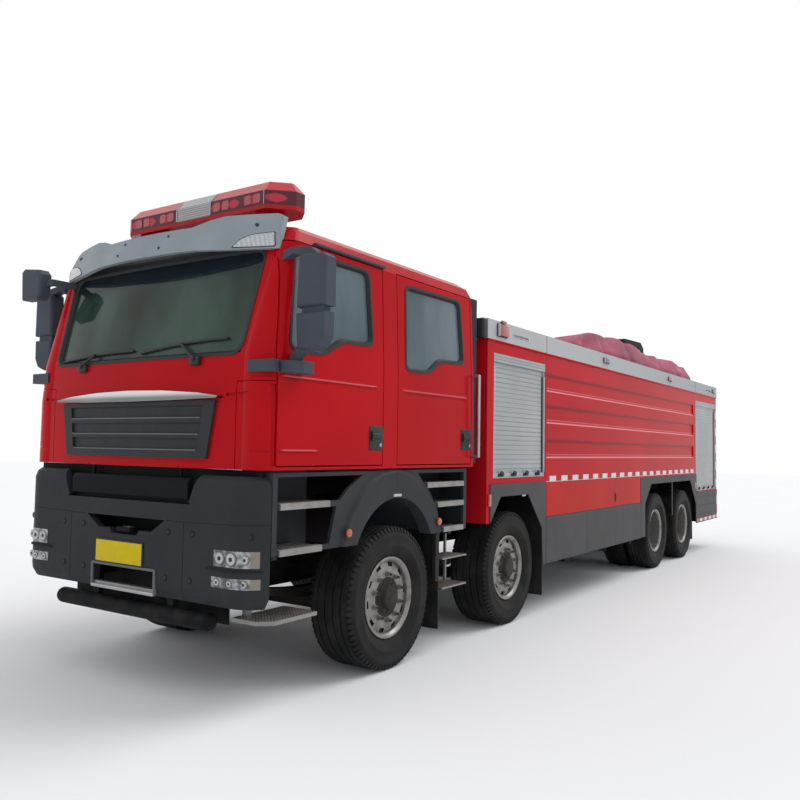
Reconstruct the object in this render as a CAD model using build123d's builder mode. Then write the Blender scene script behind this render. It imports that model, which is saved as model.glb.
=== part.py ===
from build123d import *
import os

os.makedirs("parts", exist_ok=True)

# All sizes are in millimetres. X is the vehicle's left, Y runs rearwards, Z is up.
# Stations along the vehicle are given from the first axle and moved by AXLE_1.
OVERALL_LENGTH = 11620
FRONT_OVERHANG = 1480
AXLE_1 = FRONT_OVERHANG - OVERALL_LENGTH / 2
STEERED = (0, 1950)
DRIVEN = (6550, 7950)
TYRE_R = 520
RUNNING_FIT = 0.05
SEAT_GAP = 0.3


def side(x):
    """Plane across the vehicle at x: local x is the station, local y is the height."""
    return Plane(origin=(x, AXLE_1, 0), x_dir=(0, 1, 0), z_dir=(1, 0, 0))


def plan(z):
    """Level plane at height z: local x is across, local y is the station."""
    return Plane(origin=(0, AXLE_1, z), x_dir=(1, 0, 0), z_dir=(0, 0, 1))


def front(y):
    """Upright plane at station y: local x is across, local y is the height, extrudes forwards."""
    return Plane(origin=(0, AXLE_1 + y, 0), x_dir=(1, 0, 0), z_dir=(0, -1, 0))


def block(x, y, z, mode=Mode.ADD):
    """Add or cut one block given by its low and high edges."""
    with Locations((sum(x) / 2, AXLE_1 + sum(y) / 2, sum(z) / 2)):
        Box(abs(x[1] - x[0]), y[1] - y[0], z[1] - z[0], mode=mode)


def rod(x, y, z, radius, axis, mode=Mode.ADD):
    """Add or cut one round bar along X, Y or Z, given like a block with one long pair."""
    pairs = {"X": x, "Y": y, "Z": z}
    low, high = pairs[axis]
    centre = [sum(pairs[k]) / 2 if k == axis else pairs[k] for k in "XYZ"]
    turn = {"X": (0, 90, 0), "Y": (90, 0, 0), "Z": (0, 0, 0)}[axis]
    with Locations(Location((centre[0], AXLE_1 + centre[1], centre[2]), turn)):
        Cylinder(radius, abs(high - low), mode=mode)


def slab(plane, points, depth, mode=Mode.ADD):
    """Add or cut one straight-sided outline, extruded from a plane."""
    with BuildSketch(plane) as outline:
        Polygon(*points, align=None)
    extrude(outline.sketch, amount=depth, mode=mode)


def turned(station, outlines):
    """Revolve outlines of (x, radius) points about the wheel axis at one station."""
    centre = (0, AXLE_1 + station, TYRE_R)
    with BuildSketch(Plane(origin=centre, x_dir=(1, 0, 0), z_dir=(0, -1, 0))) as section:
        for outline in outlines:
            Polygon(*outline, align=None)
    revolve(section.sketch, axis=Axis(centre, (1, 0, 0)))


# Chassis rails, cross-members, cab pivot brackets, rear tow eye and the cab's rear rest
RAIL_X = (350, 430)
RAIL_Z = (700, 970)
RAIL_Y = (-1380, 9930)
RAIL_WALL = 8
CROSS_STATIONS = (-1250, 1650, 2900, 4300, 5800, 7250, 8900, 9850)
CROSS_HALF = 50
CROSS_Z = (880, 955)
CAB_PIVOT_Y = -1380
CAB_PIVOT_Z = 1490
CAB_PIN_R = 12
CAB_BRACKET_X = (450, 470)
CAB_PIN_X = (434, 486)
CAB_BRACKET_R = 20
TOW_EYE_R = 20
TOW_EYE_Y = 9990
REST_Y = (1050, 1110)
REST_Z = (1410, 1464)

with BuildPart() as frame:
    for s in (1, -1):
        web = s * RAIL_X[1]
        lip = s * RAIL_X[0]
        skin = s * (RAIL_X[1] - RAIL_WALL)
        low, high = RAIL_Z
        channel = [(web, low), (web, high), (lip, high), (lip, high - RAIL_WALL), (skin, high - RAIL_WALL),
                   (skin, low + RAIL_WALL), (lip, low + RAIL_WALL), (lip, low)]
        slab(front(RAIL_Y[1]), channel, RAIL_Y[1] - RAIL_Y[0])
        block((lip, web), REST_Y, (RAIL_Z[1], REST_Z[0]))
        block((s * RAIL_X[1], s * CAB_BRACKET_X[1]), (CAB_PIVOT_Y, CAB_PIVOT_Y + 50), (860, 940))
        block((s * CAB_BRACKET_X[0], s * CAB_BRACKET_X[1]), (CAB_PIVOT_Y - 8, CAB_PIVOT_Y + 8), (860, CAB_PIVOT_Z))
        block((s * CAB_BRACKET_X[0], s * CAB_BRACKET_X[1]), (CAB_PIVOT_Y, CAB_PIVOT_Y + 140), (860, 1150))
        rod((s * CAB_BRACKET_X[0], s * CAB_BRACKET_X[1]), CAB_PIVOT_Y, CAB_PIVOT_Z, CAB_BRACKET_R, "X")
        rod((s * CAB_PIN_X[0], s * CAB_PIN_X[1]), CAB_PIVOT_Y, CAB_PIVOT_Z, CAB_PIN_R, "X")
    for y in CROSS_STATIONS:
        block((RAIL_WALL - RAIL_X[1], RAIL_X[1] - RAIL_WALL), (y - CROSS_HALF, y + CROSS_HALF), CROSS_Z)
    block((-RAIL_X[1], RAIL_X[1]), REST_Y, REST_Z)
    block((-70, 70), (CROSS_STATIONS[-1], TOW_EYE_Y + 55), (850, CROSS_Z[0]))
    rod(0, TOW_EYE_Y, (850, CROSS_Z[0]), TOW_EYE_R, "Z", Mode.SUBTRACT)
frame.part.label = "frame"
export_step(frame.part, "parts/frame.step")

# Axles: two dropped steering beams and two driven axle housings
KINGPIN_X = 835
KINGPIN_R = 25
EYE_R = 45
EYE_Z = (450, 570)
BEAM_HALF = 42
BEAM_TOP = 455
BEAM_DROP = 90
TUBE_R = 85
TUBE_X = 540
SPINDLE_R = 60
SPINDLE_X = 1090
DIFF_R = 205
DIFF_HALF = 130

with BuildPart() as axles:
    for y in STEERED:
        low = BEAM_TOP - BEAM_DROP
        half = [(-KINGPIN_X, 475), (-700, 475), (-560, low)]
        top = [(520, BEAM_TOP), (680, 545), (KINGPIN_X, 545)]
        beam = half + [(-x, z) for x, z in reversed(half)] + list(reversed(top)) + [(-x, z) for x, z in top]
        slab(front(y + BEAM_HALF), beam, 2 * BEAM_HALF)
        for s in (1, -1):
            rod(s * KINGPIN_X, y, EYE_Z, EYE_R, "Z")
            rod(s * KINGPIN_X, y, EYE_Z, KINGPIN_R + RUNNING_FIT, "Z", Mode.SUBTRACT)
    for y in DRIVEN:
        outline = [(-SPINDLE_X, 0), (-SPINDLE_X, SPINDLE_R), (-TUBE_X, SPINDLE_R), (-TUBE_X, TUBE_R),
                   (-260, TUBE_R), (-DIFF_HALF, DIFF_R), (DIFF_HALF, DIFF_R), (260, TUBE_R),
                   (TUBE_X, TUBE_R), (TUBE_X, SPINDLE_R), (SPINDLE_X, SPINDLE_R), (SPINDLE_X, 0)]
        turned(y, [outline])
axles.part.label = "axles"
export_step(axles.part, "parts/axles.step")

# Leaf springs with their hangers; the rear pair is one rocking pack over both driven axles
SPRING_X = (346, 434)
FRONT_SPRING_HALF = 780
REAR_SPRING_HALF = 760
BOGIE = sum(DRIVEN) / 2

with BuildPart() as springs:
    for s in (1, -1):
        for y in STEERED:
            seat = BEAM_TOP + SEAT_GAP
            with BuildSketch(side(s * SPRING_X[0])):
                with BuildLine():
                    ThreePointArc((y - FRONT_SPRING_HALF, 610), (y, seat), (y + FRONT_SPRING_HALF, 610))
                    Line((y + FRONT_SPRING_HALF, 610), (y + FRONT_SPRING_HALF, 645))
                    ThreePointArc((y + FRONT_SPRING_HALF, 645), (y, seat + 75), (y - FRONT_SPRING_HALF, 645))
                    Line((y - FRONT_SPRING_HALF, 645), (y - FRONT_SPRING_HALF, 610))
                make_face()
            extrude(amount=s * (SPRING_X[1] - SPRING_X[0]))
            for end in (-1, 1):
                e = y + end * (FRONT_SPRING_HALF - 20)
                block((s * SPRING_X[0], s * SPRING_X[1]), (e - 35, e + 35), (600, RAIL_Z[0]))
        seat = TYRE_R + TUBE_R + SEAT_GAP
        pack = [(BOGIE - REAR_SPRING_HALF, seat), (BOGIE + REAR_SPRING_HALF, seat),
                (BOGIE + REAR_SPRING_HALF, seat + 30), (BOGIE + 180, seat + 85),
                (BOGIE - 180, seat + 85), (BOGIE - REAR_SPRING_HALF, seat + 30)]
        slab(side(s * SPRING_X[0]), pack, s * (SPRING_X[1] - SPRING_X[0]))
        block((s * SPRING_X[0], s * SPRING_X[1]), (BOGIE - 110, BOGIE + 110), (500, RAIL_Z[0]))
springs.part.label = "leaf_springs"
export_step(springs.part, "parts/leaf_springs.step")

# Engine, gearbox and propeller shafts, as plain masses at their real place
ENGINE_X = 320
ENGINE_Y = (-650, 650)
ENGINE_Z = (560, 1400)
ENGINE_MOUNTS = (-450, 450)
GEARBOX_X = 220
GEARBOX_END = 1450
GEARBOX_Z = (600, 860)
PROP_R = 55
PROP_HEIGHT = 740

with BuildPart() as driveline:
    block((-ENGINE_X, ENGINE_X), ENGINE_Y, ENGINE_Z)
    block((-GEARBOX_X, GEARBOX_X), (ENGINE_Y[1], GEARBOX_END), GEARBOX_Z)
    for s in (1, -1):
        for y in ENGINE_MOUNTS:
            block((s * ENGINE_X, s * (RAIL_X[1] - RAIL_WALL - SEAT_GAP)), (y - 60, y + 60), (800, 860))
    start = Vector(0, AXLE_1 + GEARBOX_END, PROP_HEIGHT)
    end = Vector(0, AXLE_1 + DRIVEN[0] - DIFF_R - 3, TYRE_R)
    with BuildSketch(Plane(origin=start, z_dir=end - start)):
        Circle(PROP_R)
    extrude(amount=(end - start).length)
    rod(0, (DRIVEN[0] + DIFF_R + SEAT_GAP, DRIVEN[1] - DIFF_R - SEAT_GAP), TYRE_R, PROP_R, "Y")
driveline.part.label = "driveline"
export_step(driveline.part, "parts/driveline.step")

# Steering knuckles: fork round the beam's eye, kingpin, stub shaft and steering arm
FORK_CLEAR = 5
FORK_PLATE = 35
FORK_X = (790, 905)
FORK_HALF = 55
FLANGE_WALL = 15
STUB_R = 45
STUB_END = 1100

for name, s, y in (("knuckle_1_left", 1, STEERED[0]), ("knuckle_1_right", -1, STEERED[0]),
                   ("knuckle_2_left", 1, STEERED[1]), ("knuckle_2_right", -1, STEERED[1])):
    with BuildPart() as knuckle:
        low = EYE_Z[0] - FORK_CLEAR - FORK_PLATE
        high = EYE_Z[1] + FORK_CLEAR + FORK_PLATE
        span = (y - FORK_HALF, y + FORK_HALF)
        block((s * FORK_X[0], s * FORK_X[1]), span, (low, low + FORK_PLATE))
        block((s * FORK_X[0], s * FORK_X[1]), span, (high - FORK_PLATE, high))
        block((s * (FORK_X[1] - FLANGE_WALL), s * FORK_X[1]), span, (low, high))
        rod(s * KINGPIN_X, y, (low, high), KINGPIN_R, "Z")
        rod((s * FORK_X[1], s * STUB_END), y, TYRE_R, STUB_R, "X")
        block((s * 800, s * 850), (y + FORK_HALF, y + 190), (low, low + 24))
    knuckle.part.label = name
    export_step(knuckle.part, f"parts/{name}.step")

# Single front wheels
FRONT_TYRE_X = 1015
FRONT_TYRE_W = 385
RIM_SEAT_R = 285
RIM_WALL = 12
FLANGE_R = 298


def tyre_outline(centre, width, rim_half):
    """Section of one tyre that sits between the flanges of its rim."""
    edge = width / 2
    bead = rim_half - RIM_WALL - SEAT_GAP
    right = [(bead, RIM_SEAT_R + SEAT_GAP), (bead, FLANGE_R + 4), (edge - 12, 345), (edge, 410), (edge - 8, 470),
             (edge - 20, TYRE_R - 12), (edge - 42, TYRE_R)]
    left = [(-x, r) for x, r in reversed(right)]
    return [(centre + x, r) for x, r in right + left]


def barrel_outline(centre, half):
    """Section of one rim barrel with its two flanges."""
    well = RIM_SEAT_R - RIM_WALL
    right = [(half, well), (half, FLANGE_R), (half - RIM_WALL, FLANGE_R), (half - RIM_WALL, RIM_SEAT_R)]
    left = [(-x, r) for x, r in reversed(right)]
    return [(centre + x, r) for x, r in right + left]


def mirrored(outline, s):
    """The same outline on the other side of the vehicle."""
    return [(s * x, r) for x, r in outline]


FRONT_RIM_HALF = 157
FRONT_DISC_X = 118
BORE = STUB_R + RUNNING_FIT

for name, s, y in (("1_left", 1, STEERED[0]), ("1_right", -1, STEERED[0]),
                   ("2_left", 1, STEERED[1]), ("2_right", -1, STEERED[1])):
    with BuildPart() as tyre:
        turned(y, [mirrored(tyre_outline(FRONT_TYRE_X, FRONT_TYRE_W, FRONT_RIM_HALF), s)])
    tyre.part.label = f"tyre_{name}"
    export_step(tyre.part, f"parts/tyre_{name}.step")
    with BuildPart() as rim:
        c = FRONT_TYRE_X
        d = c + FRONT_DISC_X
        disc = [(d - 22, RIM_SEAT_R - 8), (d - 2, RIM_SEAT_R - 8), (d + 14, 200), (d + 14, 100), (d, 100), (d, 200)]
        hub = [(FORK_X[1] + 7, BORE), (FORK_X[1] + 7, 118), (d + 20, 118), (d + 26, 96), (d + 62, 84),
               (d + 66, 60), (d + 66, 0), (STUB_END + 6, 0), (STUB_END + 6, BORE)]
        drum = [(c - 140, 195), (c - 140, 209), (c + 30, 209), (c + 30, 110), (c + 16, 110), (c + 16, 195)]
        parts = [barrel_outline(c, FRONT_RIM_HALF), disc, hub, drum]
        turned(y, [mirrored(p, s) for p in parts])
    rim.part.label = f"rim_{name}"
    export_step(rim.part, f"parts/rim_{name}.step")

# Twin rear wheels, each pair on one hub
PAIR_X = 900
PAIR_OFFSET = 175
REAR_TYRE_W = 305
REAR_RIM_HALF = 122
REAR_BORE = SPINDLE_R + RUNNING_FIT

for name, s, y in (("3_left", 1, DRIVEN[0]), ("3_right", -1, DRIVEN[0]),
                   ("4_left", 1, DRIVEN[1]), ("4_right", -1, DRIVEN[1])):
    with BuildPart() as tyre:
        pair = [tyre_outline(PAIR_X + o, REAR_TYRE_W, REAR_RIM_HALF) for o in (-PAIR_OFFSET, PAIR_OFFSET)]
        turned(y, [mirrored(p, s) for p in pair])
    tyre.part.label = f"tyres_{name}"
    export_step(tyre.part, f"parts/tyres_{name}.step")
    with BuildPart() as rim:
        c = PAIR_X
        dish = [(c, 100), (c + 14, 100), (c + 14, 212), (c + 75, RIM_SEAT_R - 8), (c + 59, RIM_SEAT_R - 8), (c, 216)]
        dish_in = [(2 * c - x, r) for x, r in dish]
        hub = [(c - 60, REAR_BORE), (c - 60, 145), (c + 95, 145), (c + 175, 118), (c + 215, 105),
               (c + 215, 0), (SPINDLE_X + 5, 0), (SPINDLE_X + 5, REAR_BORE)]
        drum = [(c - 300, 198), (c - 300, 213), (c - 40, 213), (c - 40, 140), (c - 54, 140), (c - 54, 198)]
        parts = [barrel_outline(c - PAIR_OFFSET, REAR_RIM_HALF), barrel_outline(c + PAIR_OFFSET, REAR_RIM_HALF),
                 dish, dish_in, hub, drum]
        turned(y, [mirrored(p, s) for p in parts])
    rim.part.label = f"rims_{name}"
    export_step(rim.part, f"parts/rims_{name}.step")
# Cab: level sections of the outside, from the bottom edge to the flat roof.
# Columns: height, front on the centre line, front at the pillar, pillar x, start of the side, side x, rear
CAB_SECTIONS = (
    (1470, -1428, -1386, 1010, -1325, 1220, 1165),
    (1930, -1426, -1388, 1010, -1315, 1220, 1165),
    (2200, -1412, -1376, 1000, -1270, 1218, 1165),
    (2925, -1240, -1191, 1075, -1105, 1190, 1155),
    (3010, -1190, -1140, 1045, -1040, 1150, 1130),
    (3062, -1100, -1060, 985, -960, 1070, 1060),
    (3085, -900, -880, 860, -800, 930, 900),
)
CAB_WALL = 60
CAB_FLOOR = 1555
CAB_CEILING = 3000


def cab_body(inset, mode=Mode.ADD):
    """The cab's outside, moved in by an inset on the front, sides and rear."""
    levels = []
    for z, nose, pillar_y, pillar_x, side_y, side_x, rear in CAB_SECTIONS:
        px = pillar_x - 0.6 * inset
        py = pillar_y + inset
        sx = side_x - inset
        sy = side_y + 0.6 * inset
        ry = rear - inset
        mid = (px + 0.74 * (sx - px), py + 0.26 * (sy - py))
        with BuildSketch(plan(z)) as level:
            with BuildLine():
                ThreePointArc((px, py), (0, nose + inset), (-px, py))
                ThreePointArc((-px, py), (-mid[0], mid[1]), (-sx, sy))
                Line((-sx, sy), (-sx, ry))
                Line((-sx, ry), (sx, ry))
                Line((sx, ry), (sx, sy))
                ThreePointArc((sx, sy), mid, (px, py))
            make_face()
        levels.append(level.sketch.faces()[0])
    loft(levels, ruled=True, mode=mode)


# Doors, windows and windscreen: outlines seen from the side or from the front
DOOR_GAP = 8
FRONT_DOOR = [(-1310, 1490), (-1310, 2200), (-1205, 2932), (-184, 2932), (-184, 1490)]
REAR_DOOR = [(-6, 1490), (-6, 2932), (1128, 2932), (1128, 1490)]
FRONT_WINDOW = [(-1195, 2240), (-1130, 2868), (-360, 2868), (-325, 2352), (-671, 2340), (-878, 2226)]
REAR_WINDOW = [(112, 2215), (122, 2852), (940, 2862), (985, 2346), (604, 2332), (436, 2222)]
DOORS = (("door_front_left", 1, FRONT_DOOR, FRONT_WINDOW), ("door_front_right", -1, FRONT_DOOR, FRONT_WINDOW),
         ("door_rear_left", 1, REAR_DOOR, REAR_WINDOW), ("door_rear_right", -1, REAR_DOOR, REAR_WINDOW))
WINDSCREEN = [(-965, 2200), (-1000, 2890), (1000, 2890), (965, 2200)]
SIDE_REACH = (1080, 1400)
GLASS_IN = 22
GLASS_WALL = 8
SEAM_DEPTH = 12
CREASE_DEPTH = 4
CREASES = ((-1400, -282, 2040, 2047), (-1400, -950, 1582, 1588), (97, 1007, 2030, 2037))
CORNER_SEAM_X = 955
CORNER_PANEL_TOP = 2018

with BuildPart() as cab_outside:
    cab_body(0)
with BuildPart() as cab_inside:
    cab_body(CAB_WALL)
    block((-1300, 1300), (-1600, 1300), (1400, CAB_FLOOR), Mode.SUBTRACT)
    block((-1300, 1300), (-1600, 1300), (CAB_CEILING, 3200), Mode.SUBTRACT)
with BuildPart() as cab_seat:
    cab_body(-SEAT_GAP)
with BuildPart() as glass_skin:
    cab_body(GLASS_IN)
with BuildPart() as glass_core:
    cab_body(GLASS_IN + GLASS_WALL)

# Pressed lines on the doors, and the seams and air slots of the front corner panels
with BuildPart() as creases:
    for s in (1, -1):
        for y0, y1, z0, z1 in CREASES:
            block((s * SIDE_REACH[0], s * SIDE_REACH[1]), (y0, y1), (z0, z1))
    cab_body(CREASE_DEPTH, Mode.SUBTRACT)
with BuildPart() as seams:
    for s in (1, -1):
        block((s * (CORNER_SEAM_X - 3), s * (CORNER_SEAM_X + 3)), (-1600, -1200), (1400, CORNER_PANEL_TOP))
        block((s * CORNER_SEAM_X, s * SIDE_REACH[1]), (-1600, -1300), (CORNER_PANEL_TOP - 3, CORNER_PANEL_TOP + 3))
        block((s * 1140, s * SIDE_REACH[1]), (-1337, -1305), (1500, CORNER_PANEL_TOP - 20))
        slab(front(-1300), [(s * 872, 1926), (s * 872, 1944), (s * 1065, 1954), (s * 1065, 1936)], 300)
    cab_body(SEAM_DEPTH, Mode.SUBTRACT)


def outline_prism(points, s, shrink, mode):
    """A side outline pushed through one side wall, made smaller all round by shrink."""
    with BuildSketch(side(s * SIDE_REACH[0])) as outline:
        Polygon(*points, align=None)
        if shrink:
            offset(amount=-shrink, kind=Kind.INTERSECTION)
    extrude(outline.sketch, amount=s * (SIDE_REACH[1] - SIDE_REACH[0]), mode=mode)


# Shell of the cab, with pockets in the floor for the pivot brackets of the frame
PIVOT_CLEAR = 5

with BuildPart() as cab_shell:
    add(cab_outside.part)
    add(cab_inside.part, mode=Mode.SUBTRACT)
    for name, s, door, window in DOORS:
        outline_prism(door, s, 0, Mode.SUBTRACT)
    slab(front(-900), WINDSCREEN, 800, Mode.SUBTRACT)
    add(seams.part, mode=Mode.SUBTRACT)
    add(creases.part, mode=Mode.SUBTRACT)
    for s in (1, -1):
        pocket = (s * (CAB_BRACKET_X[0] - PIVOT_CLEAR), s * (CAB_BRACKET_X[1] + PIVOT_CLEAR))
        slot = [(CAB_PIVOT_Y - 39, 1400), (CAB_PIVOT_Y - 39, CAB_PIVOT_Z - 5), (CAB_PIVOT_Y - 26, CAB_PIVOT_Z + 26),
                (CAB_PIVOT_Y + 26, CAB_PIVOT_Z + 26), (CAB_PIVOT_Y + 26, 1400)]
        slab(side(pocket[0]), slot, pocket[1] - pocket[0], Mode.SUBTRACT)
        bore = (s * (CAB_PIN_X[0] - 2), s * (CAB_PIN_X[1] + 2))
        rod(bore, CAB_PIVOT_Y, CAB_PIVOT_Z, CAB_PIN_R + RUNNING_FIT, "X", Mode.SUBTRACT)
cab_shell.part.label = "cab_shell"
export_step(cab_shell.part, "parts/cab_shell.step")

for name, s, door, window in DOORS:
    with BuildPart() as leaf:
        add(cab_outside.part)
        add(cab_inside.part, mode=Mode.SUBTRACT)
        outline_prism(door, s, DOOR_GAP, Mode.INTERSECT)
        outline_prism(window, s, 0, Mode.SUBTRACT)
        add(creases.part, mode=Mode.SUBTRACT)
    leaf.part.label = name
    export_step(leaf.part, f"parts/{name}.step")
    with BuildPart() as pane:
        add(glass_skin.part)
        add(glass_core.part, mode=Mode.SUBTRACT)
        outline_prism(window, s, SEAT_GAP, Mode.INTERSECT)
    pane.part.label = name.replace("door", "glass")
    export_step(pane.part, "parts/" + name.replace("door", "glass") + ".step")

with BuildPart() as windscreen:
    add(glass_skin.part)
    add(glass_core.part, mode=Mode.SUBTRACT)
    with BuildSketch(front(-900)):
        Polygon(*WINDSCREEN, align=None)
        offset(amount=-SEAT_GAP, kind=Kind.INTERSECTION)
    extrude(amount=800, mode=Mode.INTERSECT)
windscreen.part.label = "windscreen"
export_step(windscreen.part, "parts/windscreen.step")

# Main mirrors, carried on the front doors: two rounded housings on a bent arm over a foot
UPPER_MIRROR = [(1290, 2475), (1300, 2790), (1325, 2812), (1490, 2800), (1518, 2775), (1520, 2475)]
LOWER_MIRROR = [(1300, 2215), (1286, 2440), (1512, 2440), (1508, 2290), (1470, 2225), (1420, 2205)]
MIRROR_REAR = -1135
MIRROR_DEPTH = 108
MIRROR_ROUND = 24
MIRROR_BRIDGE = (2430, 2480)
TOP_ARM = [(1150, 2790), (1160, 2850), (1240, 2866), (1380, 2850), (1440, 2800), (1360, 2790), (1240, 2822)]
LOW_ARM = [(1232, 2140), (1240, 2190), (1330, 2230), (1440, 2230), (1400, 2200), (1310, 2180), (1290, 2140)]
MIRROR_FOOT = [(1150, -1296), (1236, -1296), (1300, -1262), (1330, -1200), (1330, -1100), (1310, -1085), (1150, -1085)]
MIRROR_FOOT_Z = (2070, 2145)

for name, s in (("mirror_left", 1), ("mirror_right", -1)):
    with BuildPart() as upper:
        slab(front(MIRROR_REAR), mirrored(UPPER_MIRROR, s), MIRROR_DEPTH)
        fillet(upper.faces().sort_by(Axis.Y)[0].edges(), MIRROR_ROUND)
    with BuildPart() as lower:
        slab(front(MIRROR_REAR), mirrored(LOWER_MIRROR, s), MIRROR_DEPTH)
        fillet(lower.faces().sort_by(Axis.Y)[0].edges(), MIRROR_ROUND)
    with BuildPart() as mirror:
        add(upper.part)
        add(lower.part)
        block((s * 1320, s * 1490), (-1215, -1150), MIRROR_BRIDGE)
        slab(front(-1155), mirrored(TOP_ARM, s), 65)
        slab(front(-1170), mirrored(LOW_ARM, s), 55)
        slab(plan(MIRROR_FOOT_Z[0]), mirrored(MIRROR_FOOT, s), MIRROR_FOOT_Z[1] - MIRROR_FOOT_Z[0])
        add(cab_seat.part, mode=Mode.SUBTRACT)
    mirror.part.label = name
    export_step(mirror.part, f"parts/{name}.step")

# Black fittings fixed to the cab: feet in front of the mirrors, front mirror, gutters and rear bellows
FOOT_FRONT = [(1050, -1400), (1262, -1394), (1234, -1318), (1100, -1318)]
FRONT_MIRROR = [(-1330, 2715), (-1345, 2935), (-1310, 2962), (-1130, 2940), (-1085, 2900), (-1100, 2740), (-1130, 2712)]
FRONT_MIRROR_Y = (-1480, -1385)
BELLOWS_Y = (1150, 1250)
BELLOWS_Z = (1500, 2935)
BELLOWS_X = (1120, 1195)
PLEATS = 5
PLEAT_DEPTH = 14

with BuildPart() as housing:
    slab(front(FRONT_MIRROR_Y[1]), FRONT_MIRROR, FRONT_MIRROR_Y[1] - FRONT_MIRROR_Y[0])
    fillet(housing.faces().sort_by(Axis.Y)[0].edges(), MIRROR_ROUND)
with BuildPart() as fittings:
    for s in (1, -1):
        slab(plan(MIRROR_FOOT_Z[0]), mirrored(FOOT_FRONT, s), MIRROR_FOOT_Z[1] - MIRROR_FOOT_Z[0])
        block((s * 1180, s * 1212), (-963, -169), (2936, 2950))
        step = (BELLOWS_Y[1] - BELLOWS_Y[0]) / (2 * PLEATS)
        folds = [(s * (BELLOWS_X[1] - (i % 2) * PLEAT_DEPTH), BELLOWS_Y[0] + i * step) for i in range(2 * PLEATS + 1)]
        strip = folds + [(s * BELLOWS_X[0], BELLOWS_Y[1]), (s * BELLOWS_X[0], BELLOWS_Y[0])]
        slab(plan(BELLOWS_Z[0]), strip, BELLOWS_Z[1] - BELLOWS_Z[0])
    block((-BELLOWS_X[0], BELLOWS_X[0]), BELLOWS_Y, (BELLOWS_Z[1] - 75, BELLOWS_Z[1]))
    add(housing.part)
    slab(front(-1385), [(-1200, 2815), (-1200, 2860), (-1010, 2860), (-1010, 2815)], 40)
    slab(plan(2815), [(-1050, -1425), (-1010, -1425), (-1000, -1150), (-1050, -1150)], 45)
    add(cab_seat.part, mode=Mode.SUBTRACT)
fittings.part.label = "cab_fittings"
export_step(fittings.part, "parts/cab_fittings.step")

# Grab tubes behind the rear doors
GRAB_X = 1280
GRAB_Y = 1146
GRAB_Z = (1560, 2250)
GRAB_R = 14

with BuildPart() as grabs:
    for s in (1, -1):
        rod(s * GRAB_X, GRAB_Y, GRAB_Z, GRAB_R, "Z")
        for z in GRAB_Z:
            rod((s * 1206, s * GRAB_X), GRAB_Y, z, GRAB_R, "X")
            with Locations((s * GRAB_X, AXLE_1 + GRAB_Y, z)):
                Sphere(GRAB_R)
    add(cab_seat.part, mode=Mode.SUBTRACT)
grabs.part.label = "grab_rails"
export_step(grabs.part, "parts/grab_rails.step")

# Sun visor: a curved shield over the windscreen with raised ends.
# Columns: height, half span, front at the ends, front on the centre line
VISOR_LEVELS = ((2865, 1118, -1215, -1425), (2960, 1118, -1210, -1410), (3150, 1090, -1130, -1330))
VISOR_WALL = 38
VISOR_FACE = [(-1118, 2872), (-1118, 3060), (-1100, 3095), (-1050, 3122), (-680, 3132), (-560, 3112), (-430, 3072),
              (430, 3072), (560, 3112), (680, 3132), (1050, 3122), (1100, 3095), (1118, 3060), (1118, 2872),
              (760, 2880), (500, 2898), (-500, 2898), (-760, 2880)]
VISOR_ARMS = (-720, 720)

with BuildPart() as visor:
    levels = []
    for z, half, end_y, nose in VISOR_LEVELS:
        with BuildSketch(plan(z)) as level:
            with BuildLine():
                ThreePointArc((-half, end_y), (0, nose), (half, end_y))
                Line((half, end_y), (half, end_y + VISOR_WALL))
                ThreePointArc((half, end_y + VISOR_WALL), (0, nose + VISOR_WALL), (-half, end_y + VISOR_WALL))
                Line((-half, end_y + VISOR_WALL), (-half, end_y))
            make_face()
        levels.append(level.sketch.faces()[0])
    loft(levels, ruled=True)
    slab(front(-900), VISOR_FACE, 800, Mode.INTERSECT)
    for x in VISOR_ARMS:
        block((x - 15, x + 15), (-1300, -1140), (2945, 2975))
    for s in (1, -1):
        block((s * 1060, s * 1100), (-1215, -1100), (2945, 2975))
    add(cab_seat.part, mode=Mode.SUBTRACT)
visor.part.label = "sun_visor"
export_step(visor.part, "parts/sun_visor.step")

# Light bar: tray on two brackets, and a lens with sloping top edges
BAR_OUTLINE = [(-880, -710), (-880, -800), (-730, -950), (730, -950), (880, -800), (880, -710),
               (760, -600), (-760, -600)]
BAR_TRAY_Z = (3262, 3292)
BAR_SLOPE_Z = 3392
BAR_TOP_Z = 3472
BAR_SLOPE_IN = 70
BAR_BRACKET_X = (590, 660)

with BuildPart() as bar_base:
    slab(plan(BAR_TRAY_Z[0]), BAR_OUTLINE, BAR_TRAY_Z[1] - BAR_TRAY_Z[0])
    for s in (1, -1):
        bracket = [(-930, 3040), (-900, BAR_TRAY_Z[0]), (-680, BAR_TRAY_Z[0]), (-640, 3040)]
        slab(side(s * BAR_BRACKET_X[0]), bracket, s * (BAR_BRACKET_X[1] - BAR_BRACKET_X[0]))
    add(cab_seat.part, mode=Mode.SUBTRACT)
    block((-1300, 1300), (-1600, 1300), (2900, CAB_SECTIONS[-1][0] + SEAT_GAP), Mode.SUBTRACT)
bar_base.part.label = "light_bar_base"
export_step(bar_base.part, "parts/light_bar_base.step")

with BuildPart() as bar_lens:
    slab(plan(BAR_TRAY_Z[1] + SEAT_GAP), BAR_OUTLINE, BAR_SLOPE_Z - BAR_TRAY_Z[1] - SEAT_GAP)
    with BuildSketch(plan(BAR_SLOPE_Z)) as low_outline:
        Polygon(*BAR_OUTLINE, align=None)
    with BuildSketch(plan(BAR_TOP_Z)) as top_outline:
        Polygon(*BAR_OUTLINE, align=None)
        offset(amount=-BAR_SLOPE_IN, kind=Kind.INTERSECTION)
    loft([low_outline.sketch.faces()[0], top_outline.sketch.faces()[0]], ruled=True)
bar_lens.part.label = "light_bar_lens"
export_step(bar_lens.part, "parts/light_bar_lens.step")

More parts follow.
